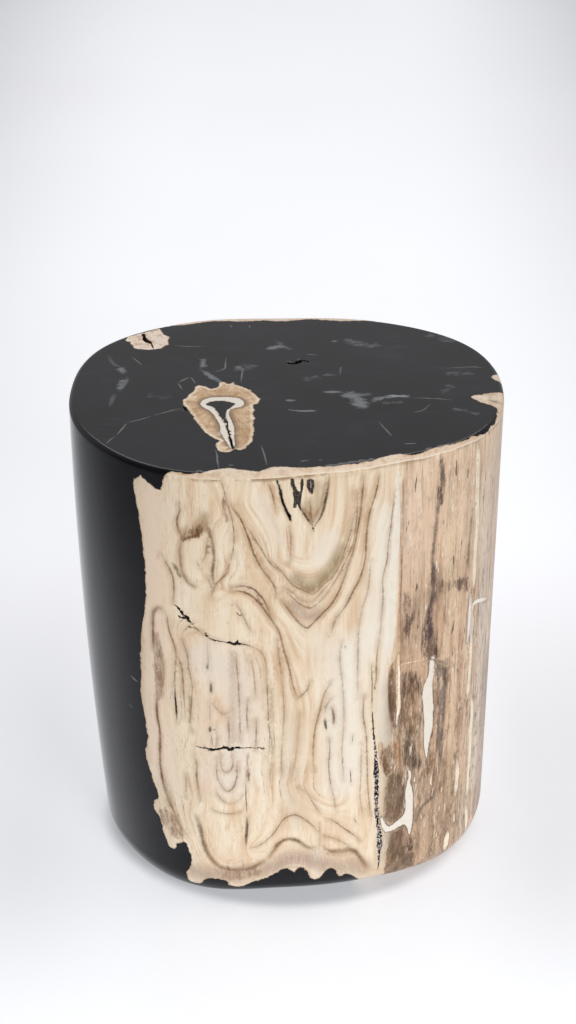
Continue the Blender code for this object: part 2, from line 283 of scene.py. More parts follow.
grainLines = {
    "boldBrown": {
        "half": 0.6, "soft": 0.8, "color": (106, 68, 32), "strength": 0.88, "halo": 1.0, "uneven": 0.36,
        "lines": {
            "cheek": ((178, 504), (180, 510), (177, 520), (178, 529), (181, 534)),
            "shoulderUpper": ((231, 505), (241, 520), (249, 539), (254, 554), (262, 569), (270, 579),
                (275, 588), (276, 597)),
            "archUpper": ((231, 588), (241, 586), (251, 588), (259, 594), (266, 604), (272, 619)),
            "archLower": ((231, 590), (246, 593), (257, 601), (269, 616), (279, 632), (284, 649), (289, 667),
                (294, 689), (297, 697)),
            "bigBowl": ((364, 478), (362, 499), (360, 516), (355, 543), (348, 567), (341, 586), (333, 602),
                (322, 614), (312, 624), (307, 628), (298, 622), (290, 612), (281, 600)),
            "bigBowlOuter": ((380, 474), (376, 493), (370, 512), (367, 530), (366, 545), (365, 560),
                (360, 578), (353, 591), (346, 605), (336, 619), (331, 635)),
        },
    },
    "darkEdge": {
        "half": 0.9, "soft": 0.65, "color": (84, 60, 38), "strength": 1.05, "halo": 0.9,
        "lines": {
            "vLeft": ((299.6, 506), (303, 512), (307, 518), (312.6, 525.5)),
            "vRight": ((329.4, 477.5), (328, 489), (325.2, 502), (322, 514), (317.5, 522.4), (313, 526.4)),
            "eyeSlit": ((331.8, 708), (333.6, 716), (333.8, 726)),
            "wedgeCrack": ((490.6, 400.8), (494, 401.8), (499, 402.6)),
        },
    },
    "wideBrown": {
        "half": 1.0, "soft": 1.1, "color": (104, 66, 30), "strength": 0.9, "halo": 1.0, "uneven": 0.36,
        "lines": {
            "knotRight": ((206, 522), (210, 533), (213, 546), (214, 559), (212.5, 571), (213, 581),
                (216, 586)),
            "knotLeft": ((183, 539), (180, 548), (180, 556), (181, 566), (184, 576), (189, 584), (195, 587)),
            "archBrown": ((181, 540.6), (188, 537.6), (195, 536), (200, 532), (205.4, 526)),
            "leftHoop": ((153.2, 650), (153, 636), (153, 622), (154, 612), (158, 608), (163, 610)),
            "lensEdge": ((157, 696), (157, 714), (160, 733), (160, 762), (163, 781), (168, 798), (173, 809),
                (178, 821), (182, 832)),
        },
    },
    "broadBrown": {
        "half": 1.3, "soft": 1.9, "color": (104, 70, 38), "strength": 0.85, "halo": 1.0, "uneven": 0.42,
        "lines": {
            "waveLeft": ((269, 857), (278, 844), (288, 839), (298, 841), (307, 847), (315, 848)),
            "waveRight": ((322, 846), (331, 851), (341, 850), (353, 850), (360, 857), (367, 867)),
            "basin": ((197, 816), (201, 830), (205, 848), (213, 861), (222, 868), (238, 870), (251, 868),
                (264, 861)),
            "archRight": ((206, 524), (209.6, 532), (212, 541)),
        },
    },
    "fineBrown": {
        "half": 0.38, "soft": 0.85, "color": (118, 82, 44), "strength": 0.8, "halo": 0.8, "uneven": 0.46,
        "lines": {
            "ribLower": ((194, 754), (197, 765), (197, 778), (199, 790), (201, 800)),
            "longRight": ((221, 480), (224, 491), (228, 506), (232, 520), (234, 535), (233, 549),
                (230, 562)),
            "kneeFold": ((230, 562), (227, 573), (219, 581), (214, 588), (211, 598)),
            "kneeLeft": ((207, 576), (210, 583), (212, 590)),
            "leftOfKnot": ((161, 554), (169, 568), (173, 578), (174, 590), (173, 604)),
            "shoulderLower": ((249, 529), (259, 546), (270, 563), (282, 573)),
            "innerBowl": ((353, 516), (351, 530), (346, 547), (340, 564), (333, 576), (322, 586), (314, 594),
                (307, 592), (293, 585), (281, 571), (272, 562)),
            "middleBowl": ((357, 492), (357, 516), (353, 543), (346, 560), (338, 576), (329, 590),
                (319, 602), (310, 608), (300, 604), (290, 595), (283, 590)),
            "bowlBetween": ((330, 583), (320, 594), (311, 602), (302, 600), (293, 593), (284, 588)),
            "bowlRight": ((395, 493), (392, 517), (388, 547), (387, 560), (383, 578), (383, 595), (382, 612),
                (380, 635), (377, 657), (376, 681), (373, 691)),
            "leftHoopRight": ((164.6, 611), (167, 617), (169, 631), (173, 642), (176, 654), (175, 672),
                (174, 686)),
            "ribA": ((182, 639), (187, 654), (189, 669), (192, 685), (191, 706), (190, 722), (193, 733)),
            "ribB": ((237, 604), (241, 612), (246, 622), (252, 634)),
            "ribC": ((260, 650), (265, 660), (267, 682), (268, 703), (269, 727), (272, 743), (271, 767),
                (270, 786)),
            "seamTail": ((239, 644), (249, 646), (257, 649), (263, 655), (266, 669), (267, 683)),
            "seamLead": ((199, 632), (206, 636), (212, 640), (222, 641)),
            "hookUpper": ((212, 703), (219, 711), (225, 714), (233, 710)),
            "ribD": ((216, 727), (217, 739), (216, 747)),
            "ribE": ((228, 717), (229, 731), (229, 745)),
            "ribF": ((256, 719), (256, 739), (255, 750)),
            "ribG": ((248, 699), (247, 714), (248, 730)),
            "eyeOuter": ((332, 681), (324, 695), (319, 714), (315, 729), (313, 753), (314, 771)),
            "eyeInner": ((328.6, 738), (330, 748), (329, 770), (333, 798)),
            "eyeLeft": ((331.4, 698), (327, 705), (324.4, 713)),
            "orangeRight": ((289, 526), (290.6, 538), (290.6, 550), (289.4, 564)),
            "vMiddle": ((309.6, 500), (310.6, 512), (312.4, 524)),
            "vEnd": ((295, 695), (298, 698), (307, 690), (310, 681)),
            "hoopA": ((221, 754), (221, 766), (225, 772), (230, 771), (233, 765), (233, 755)),
            "hoopB": ((217, 758), (217, 774), (221, 785), (227, 791), (233, 788), (237, 776), (237, 762)),
            "hoopC": ((216, 790), (222, 800), (230, 804), (238, 801), (243, 795)),
            "hoopD": ((212, 809), (221, 813), (232, 814), (241, 812)),
            "waveUpper": ((250, 848), (260, 845), (271, 836), (278, 827), (284, 819), (295, 815), (305, 820),
                (314, 827), (319, 833)),
            "waveUpperRight": ((324, 818), (334, 821), (343, 828), (352, 834), (360, 841)),
            "waveMiddleRight": ((320, 835), (329, 837), (340, 841), (350, 846)),
            "fanLong": ((299, 787), (308, 795), (315, 806), (322, 816)),
            "stemWave": ((319, 822), (320, 838), (319, 850)),
            "backRibRight": ((364, 695), (363, 715), (366, 735), (367, 760), (368, 790), (370, 815)),
            "footRib": ((186, 774), (186, 798)),
            "vLeftFaint": ((268, 483), (272, 493), (276, 512)),
            "underKnot": ((197, 562), (200, 568)),
            "insideKnot": ((207, 540), (206, 554), (202, 563)),
            "divideDark": ((403.4, 480), (403, 530), (401.8, 567), (400.8, 597), (400.4, 627), (400.8, 652)),
            "leftRib": ((164, 660), (164, 677), (160, 697)),
            "ribH": ((176, 654), (181, 664), (183, 680), (184, 700), (186, 720)),
            "ribJ": ((236, 655), (238, 680), (239, 700), (240, 722), (240, 742)),
            "ribL": ((277, 640), (280, 664), (283, 690), (284, 715), (282, 745), (281, 775)),
        },
    },
    "faintBrown": {
        "half": 0.36, "soft": 1.0, "color": (150, 114, 78), "strength": 0.6, "halo": 0.6, "uneven": 0.5,
        "lines": {
            "bowlRightInner": ((371, 560), (368, 590), (362, 610), (359, 629), (358, 664), (358, 698)),
            "ribK": ((250, 655), (254, 675), (256, 700)),
            "ribM": ((300, 712), (298, 735), (295, 760), (290, 780)),
            "ribN": ((342, 640), (340, 660), (343, 690), (344, 720), (342, 750), (344, 780)),
            "backRib": ((361, 743), (361, 771), (360, 798), (363, 815)),
            "sideWave": ((331, 784), (334, 798), (336, 812)),
        },
    },
    "darkSlit": {
        "half": 1.1, "soft": 0.45, "color": (40, 24, 10), "strength": 1.25, "halo": 0.6,
        "lines": {
            "vTip": ((312.6, 524), (313, 527), (313.6, 531)),
            "dashA": ((175, 683), (175, 695), (176, 706), (177, 722)),
            "dashB": ((211, 683), (211, 694)),
            "dashC": ((210, 727), (210, 732)),
            "dashD": ((208, 664), (208, 670)),
            "dashE": ((247, 816), (247, 826), (246, 838), (246, 848)),
            "eyeHeart": ((325, 718), (325.4, 724), (326.6, 731)),
            "rightDot": ((375, 686), (375, 690)),
        },
    },
    "fineDark": {
        "half": 0.32, "soft": 0.36, "color": (58, 34, 12), "strength": 1.0, "halo": 0.4, "uneven": 0.5,
        "lines": {
            "dotsA": ((207, 642), (208, 656), (208, 670)),
            "dotsB": ((246, 781), (246, 797), (247, 816)),
            "dotsC": ((210, 700), (210, 712), (210, 724)),
            "dotsD": ((211, 734), (212, 741), (212, 747)),
            "lensLeft": ((269.4, 722), (270, 734), (269.6, 747), (268.4, 758)),
            "lensRight": ((273, 731), (274.4, 741), (273.4, 752), (271.4, 762)),
            "ribEdge": ((176, 666), (174, 684)),
            "tickA": ((353, 735), (352, 743)),
            "tickB": ((350, 770), (351, 784)),
            "tickC": ((343, 757), (342, 765)),
            "tickD": ((354, 818), (357, 824)),
            "tickE": ((345, 646), (346, 648)),
            "lowerTick": ((228, 866), (229, 872)),
            "basinTick": ((243, 862), (244, 870)),
            "fissureLead": ((371, 664), (372, 682), (372, 697), (372, 712)),
            "loopSmall": ((236, 612), (240, 616), (242, 613)),
        },
    },
    "warmLine": {
        "half": 0.5, "soft": 0.5, "color": (200, 138, 84), "strength": 0.85, "halo": 0.4,
        "lines": {
            "orangeLeft": ((286, 524), (287, 534), (288, 546), (289, 558)),
            "divideEdge": ((400, 478), (401, 520), (400, 560), (399, 595), (398, 630), (398, 646)),
        },
    },
    "paleVein": {
        "half": 1.05, "soft": 0.35, "color": (255, 246, 230), "strength": 1.25, "halo": 0.7,
        "lines": {
            "divideVein": ((398, 660), (399, 672), (399, 702), (397, 716), (396, 726)),
            "shortB": ((454, 813), (454, 823)),
        },
    },
    "paleVeinWide": {
        "half": 2.7, "soft": 0.5, "color": (255, 240, 214), "strength": 1.3, "halo": 1.0,
        "lines": {
            "rightVeinUpper": ((477.8, 443), (478, 474), (477, 504), (477.4, 520), (475.6, 545),
                (474.6, 570), (473.6, 590)),
            "rightVeinMiddle": ((471.4, 634), (470.8, 646), (470.4, 658), (469.6, 668), (468.4, 684),
                (467.6, 699)),
            "rightVeinLong": ((471.2, 692), (472, 713.5), (470.4, 731.5), (469.6, 754.4), (468, 779),
                (467, 797)),
            "rightVeinFoot": ((465.5, 803.4), (466.3, 820), (464.7, 834), (463, 852)),
            "shortA": ((456.6, 758), (457.6, 772), (456.6, 785), (455.4, 798)),
            "shortC": ((447.4, 831), (446, 842), (444, 853)),
        },
    },
    "whiteVein": {
        "half": 1.4, "soft": 0.5, "color": (252, 240, 230), "strength": 1.3, "halo": 1.0,
        "lines": {
            "whiteVein": ((470.2, 597), (469.8, 606), (469.2, 618), (468.2, 630), (467.2, 641)),
        },
    },
    "branchVein": {
        "half": 1.6, "soft": 0.4, "color": (255, 246, 232), "strength": 1.3, "halo": 0.8,
        "lines": {
            "veinBranch": ((472.4, 609), (473.6, 604), (477, 601.4), (482, 600), (488, 598)),
        },
    },
    "thinVein": {
        "half": 0.35, "soft": 0.4, "color": (246, 226, 196), "strength": 0.7, "halo": 0.0,
        "lines": {
            "crossHair": ((399, 665), (412, 662), (422, 660), (430, 657)),
            "pupilCore": ((310.4, 481), (310.9, 485), (310.6, 489)),
        },
    },
    "streakDark": {
        "half": 1.3, "soft": 1.5, "color": (84, 66, 62), "strength": 0.75, "halo": 0.5,
        "lines": {
            "longStreak": ((442, 459), (443, 474), (441, 492), (438, 509), (435, 536), (433, 560),
                (434, 581), (432, 598), (429, 616), (430, 630), (428, 647), (427, 657)),
            "lensCap": ((435, 662), (440, 661.5), (446, 664)),
            "lensEdgeDark": ((447.5, 668), (445.4, 689), (443.6, 713), (441.8, 738), (440.6, 756),
                (439.4, 774)),
            "veinShade": ((472.6, 508), (470.6, 530), (468.6, 552), (468, 570)),
            "diagonal": ((438, 786), (431, 798), (422, 807), (415, 822)),
            "lensLeft": ((432, 633), (435, 648), (437, 660)),
            "patchTop": ((389, 678), (390, 700), (391, 722)),
        },
    },
    "grayHair": {
        "half": 0.55, "soft": 0.5, "color": (150, 150, 150), "strength": 0.8, "halo": 0.0,
        "lines": {
            "hairRightOfKnot": ((206, 345.5), (190, 346.5), (174, 345.6)),
            "knotToLeft": ((184, 408), (174, 410), (163, 413), (152, 416)),
            "leftRun": ((152, 416), (140, 419.5), (127, 422.5)),
            "leftRunLower": ((127, 422.5), (122, 429), (116, 435.5)),
            "leftRunEnd": ((116, 435.5), (110, 440), (106, 444)),
            "belowKnotA": ((215, 449), (217, 455), (217.5, 462), (219, 469)),
            "belowKnotB": ((261, 445), (264, 453), (267, 465)),
            "aboveLeft": ((132, 357), (137, 361), (143, 366)),
            "squareTop": ((178, 383), (184, 379.5), (190, 377)),
            "squareLeft": ((178, 383), (180, 386), (182.5, 389.5)),
            "squareRight": ((190, 377), (193, 380), (195.5, 383.5)),
            "aboveKnotA": ((243, 369), (242, 376), (241, 383)),
            "aboveKnotB": ((226, 358), (225.5, 364), (224.5, 369), (215, 372)),
            "rimTickA": ((230.5, 325), (231.5, 328)),
            "rimTickB": ((249, 325), (250, 328)),
            "dashMiddle": ((290, 410), (303, 411), (315, 410.5)),
            "rightRun": ((412, 397.5), (432, 398.5), (454, 400)),
            "rightCurve": ((413, 412), (423, 410), (431, 403)),
            "rightSlope": ((378, 421), (385, 429), (393, 437)),
            "pitTick": ((306, 354), (312, 354.5), (318, 355)),
            "shortTick": ((341, 366), (340, 375)),
            "lowDashA": ((300, 461), (309, 460)),
            "lowDashB": ((319, 460), (323, 459.5)),
            "lowDashC": ((404, 444), (416, 443)),
            "lowDashD": ((229, 465), (234, 465)),
            "farDash": ((448, 368), (470, 367), (484, 367.5)),
            "wallTick": ((129, 704), (132, 708)),
            "wallTickFaint": ((130, 675), (134, 679), (139, 683)),
        },
    },
    "grayVein": {
        "half": 1.5, "soft": 1.8, "color": (116, 118, 120), "strength": 0.75, "halo": 0.0,
        "lines": {
            "leftVeinTop": ((109, 355), (111, 360), (114, 364), (121, 367)),
            "leftVeinMiddle": ((121, 368), (122, 372), (124, 374)),
            "leftVeinLower": ((127, 377), (126, 382), (122, 388), (119, 392)),
            "leftVeinEnd": ((114, 394), (112, 400), (110, 406)),
            "aboveKnot": ((204, 358), (203, 363), (201, 369)),
            "aboveKnotLong": ((200, 369), (207, 373), (213, 377), (219, 381)),
            "midBlot": ((268, 348), (276, 347), (282, 343)),
        },
    },
}

# The stone's own colours, as the photograph shows them, red, green and blue out of 255.

palette = {
    "cream": (240, 227, 208), "sand": (226, 198, 162), "tan": (206, 172, 134), "pink": (230, 202, 180),
    "ochre": (216, 166, 114), "olive": (170, 138, 98), "khaki": (162, 140, 104), "umber": (150, 112, 76),
    "bark": (126, 94, 64), "coffee": (106, 82, 66), "mauve": (112, 92, 84), "slate": (88, 88, 92),
    "ash": (118, 122, 124), "smoke": (90, 90, 94), "mist": (176, 180, 186), "bone": (244, 236, 222),
    "shell": (236, 222, 206), "apricot": (238, 206, 168), "plum": (88, 60, 62), "rust": (168, 128, 94),
    "stale": (124, 110, 100), "soot": (18, 8, 12), "moss": (128, 104, 82), "blush": (236, 212, 210),
    "fog": (212, 214, 206), "peach": (255, 230, 204), "clay": (186, 162, 142),
}


def toLinear(color):
    values = np.array(color, float) / 255
    return np.where(values <= 0.04045, values / 12.92, ((values + 0.055) / 1.055) ** 2.4)


# Soft tints: a colour of the palette, how far it reaches in millimetres, its strength and a line of pixels.
tints = {
    "bowlFloor": ("khaki", 10, 0.7, ((296, 578), (308, 586), (320, 579), (332, 566), (341, 548))),
    "bowlFloorCore": ("khaki", 5.5, 0.85, ((304, 587), (313, 590), (322, 582), (331, 572), (338, 558))),
    "bowlWall": ("tan", 5.5, 0.6, ((352, 490), (349, 515), (345, 535))),
    "bowlUnder": ("clay", 9, 0.8, ((292, 604), (300, 612), (309, 617), (317, 612))),
    "archShade": ("olive", 9, 0.7, ((184, 533), (191, 529), (199, 524), (204, 517))),
    "lensHaze": ("rust", 6, 0.75, ((157, 632), (159, 650), (160, 680), (158, 700))),
    "paleRight": ("bone", 26, 0.7, ((388, 520), (384, 580), (372, 640))),
    "paleLowRight": ("bone", 30, 0.85, ((350, 650), (345, 700), (344, 780))),
    "paleAboveBowl": ("bone", 15, 0.5, ((330, 540), (318, 560))),
    "paleLowLeft": ("shell", 34, 0.85, ((206, 660), (236, 680), (240, 730), (232, 780))),
    "sandMiddle": ("clay", 18, 0.3, ((296, 720), (292, 780), (298, 820))),
    "outerBowlWall": ("tan", 4.5, 0.6, ((377, 478), (370, 500), (366, 525))),
    "vFill": ("khaki", 8, 0.5, ((318, 484), (319, 500), (314, 514), (307, 504))),
    "vShade": ("umber", 3.4, 0.65, ((303, 508), (308, 516), (312.4, 522), (316, 517), (320.6, 507),
        (324, 496), (325.6, 484))),
    "orangeHaze": ("ochre", 5, 0.6, ((271, 486), (274, 500), (276, 516))),
    "lensTail": ("olive", 4, 0.6, ((158, 700), (158, 716), (161, 740), (163, 770), (172, 806))),
    "basinShade": ("umber", 7.5, 0.7, ((225, 870), (240, 872), (254, 870))),
    "waveShade": ("umber", 4, 0.6, ((330, 852), (341, 853), (352, 852))),
    "waveFill": ("tan", 7, 0.6, ((350, 858), (358, 864), (362, 872))),
    "sandStreakA": ("sand", 11, 0.6, ((238, 515), (243, 540), (252, 565), (262, 590), (272, 612))),
    "sandStreakB": ("sand", 11, 0.5, ((206, 600), (204, 622), (196, 640))),
    "sandStreakC": ("sand", 8, 0.55, ((298, 700), (299, 735), (296, 765))),
    "sandFan": ("sand", 12, 0.5, ((292, 780), (300, 800), (310, 825))),
    "pinkLeft": ("pink", 14, 0.5, ((150, 500), (156, 560), (155, 600))),
    "pinkLow": ("pink", 12, 0.5, ((205, 700), (203, 735), (205, 790))),
    "paleMiddle": ("cream", 20, 0.6, ((320, 640), (330, 680), (338, 740), (338, 780))),
    "paleTop": ("cream", 12, 0.6, ((262, 500), (280, 540))),
    "paleInsideV": ("cream", 14, 0.45, ((330, 540), (320, 555))),
    "sandTop": ("sand", 5, 0.5, ((330, 474), (360, 470), (392, 462))),
    "edgeTan": ("tan", 6, 0.6, ((143, 640), (143, 700), (150, 760))),
    "eyeTint": ("bone", 4, 0.7, ((329.4, 706), (329.6, 728))),
    "eyeShade": ("tan", 5, 0.5, ((327, 694), (321, 706), (317, 722))),
    "greenLeft": ("khaki", 3.5, 0.7, ((191, 698), (191, 722))),
    "greenRight": ("khaki", 3.5, 0.6, ((271, 690), (272, 722))),
    "hookGlow": ("ochre", 6, 0.5, ((216, 699), (222, 711), (218, 722))),
    "wedgeGlow": ("bone", 9, 0.75, ((474, 397.4), (484, 398), (494, 398))),
    "wedgeFoot": ("umber", 5, 0.5, ((492, 402.4), (496, 403), (500, 403.4))),
    "grayChip": ("fog", 10, 0.95, ((491.6, 376), (497, 378), (499.6, 380.4))),
    "grayRib": ("clay", 4.4, 0.55, ((232, 652), (232, 690), (233.5, 740))),
    "paleWedge": ("cream", 6.5, 0.8, ((319, 850), (317, 866), (314, 882))),
    "paleBeside": ("bone", 8, 0.7, ((387, 640), (383, 680), (383, 720), (385, 740))),
    "clusterHaze": ("coffee", 15, 0.6, ((404, 688), (409, 718), (414, 748), (421, 766))),
    "ovalHead": ("umber", 8, 0.6, ((394, 748), (396, 774))),
    "backRim": ("blush", 9, 0.8, ((185, 322), (230, 320.6), (280, 320), (300, 320))),
    "backRimGray": ("fog", 9, 0.7, ((312, 320), (350, 320.6), (392, 323))),
    "footPink": ("pink", 6, 0.6, ((215, 878), (240, 882))),
    "footPinkRight": ("pink", 9, 0.6, ((285, 856), (300, 860), (312, 866))),
    "hoopTint": ("cream", 8, 0.5, ((227, 760), (227, 780))),
    "bandWarm": ("sand", 6, 0.6, ((390, 470), (389, 500))),
    "lowMoss": ("moss", 32, 0.9, ((404, 690), (404, 760), (400, 850))),
    "lowMossRight": ("moss", 34, 0.55, ((432, 770), (436, 800), (440, 850))),
    "lowMossFar": ("moss", 24, 0.35, ((458, 790), (460, 830))),
    "midShade": ("moss", 22, 0.45, ((452, 575), (440, 590), (420, 600), (412, 640))),
    "leftGlow": ("peach", 30, 0.8, ((148, 500), (154, 560), (158, 620), (156, 700), (158, 760))),
    # footShade is painted shade: a darker clay band laid along the curve of the foot
    "footShade": ("clay", 17, 0.85, ((196, 872), (230, 876), (270, 868), (296, 858), (330, 866), (362, 868))),
    "midGolden": ("sand", 20, 0.4, ((452, 500), (454, 550), (452, 620))),
    "brownTopPink": ("pink", 18, 0.55, ((415, 480), (414, 530), (412, 570))),
    "brownGold": ("sand", 16, 0.55, ((455, 520), (455, 560), (450, 600))),
    "streakHaze": ("mauve", 9, 0.65, ((436, 570), (432, 600), (430, 640))),
    "brownMiddle": ("umber", 10, 0.6, ((410, 700), (412, 730))),
    "rightWarm": ("sand", 16, 0.55, ((450, 700), (452, 760), (448, 810))),
    "rightPink": ("shell", 18, 0.75, ((486, 480), (484, 560), (480, 660), (474, 780))),
}

# The same on the back, along places: a bearing in degrees and metres down the wall.
backTints = {
    "pale": ("bone", 26, 0.35, ((94, 0.03), (97, 0.1), (93, 0.18), (90, 0.26))),
    "paleLow": ("bone", 24, 0.35, ((99, 0.3), (97, 0.36), (101, 0.44))),
    "warmEdge": ("peach", 22, 0.5, ((121, 0.03), (120, 0.2), (122, 0.42))),
    "pinkStreak": ("pink", 14, 0.5, ((106, 0.12), (110, 0.2), (105, 0.28))),
    "sandStreak": ("sand", 12, 0.5, ((84, 0.04), (80, 0.12), (84, 0.2), (82, 0.27))),
    "eyeShade": ("olive", 9, 0.7, ((73, 0.145), (74, 0.17), (73.5, 0.2))),
    "eyeCore": ("umber", 3.5, 0.85, ((73.6, 0.163), (73.8, 0.182))),
    "lowEye": ("olive", 10, 0.65, ((111, 0.285), (112, 0.31))),
    "border": ("clay", 12, 0.35, ((58, 0.06), (54, 0.16), (58, 0.28), (54, 0.36), (57, 0.44))),
    "foot": ("clay", 14, 0.5, ((62, 0.462), (90, 0.47), (118, 0.465))),
    "sideMoss": ("moss", 34, 0.7, ((-14, 0.26), (-10, 0.36), (-12, 0.45))),
    "sideGold": ("sand", 28, 0.6, ((-8, 0.03), (-4, 0.1), (-6, 0.18))),
    "sidePink": ("pink", 26, 0.7, ((13, 0.05), (15, 0.16), (12, 0.28))),
    "sideUmber": ("umber", 15, 0.7, ((3, 0.14), (6, 0.22), (3, 0.3))),
    "sideDusk": ("mauve", 9, 0.75, ((26, 0.13), (28, 0.2), (26.6, 0.26), (28, 0.32))),
    "sideRust": ("rust", 18, 0.6, ((38, 0.15), (40, 0.24), (39, 0.3))),
    "sideLow": ("moss", 26, 0.65, ((30, 0.36), (34, 0.42), (33, 0.46))),
}

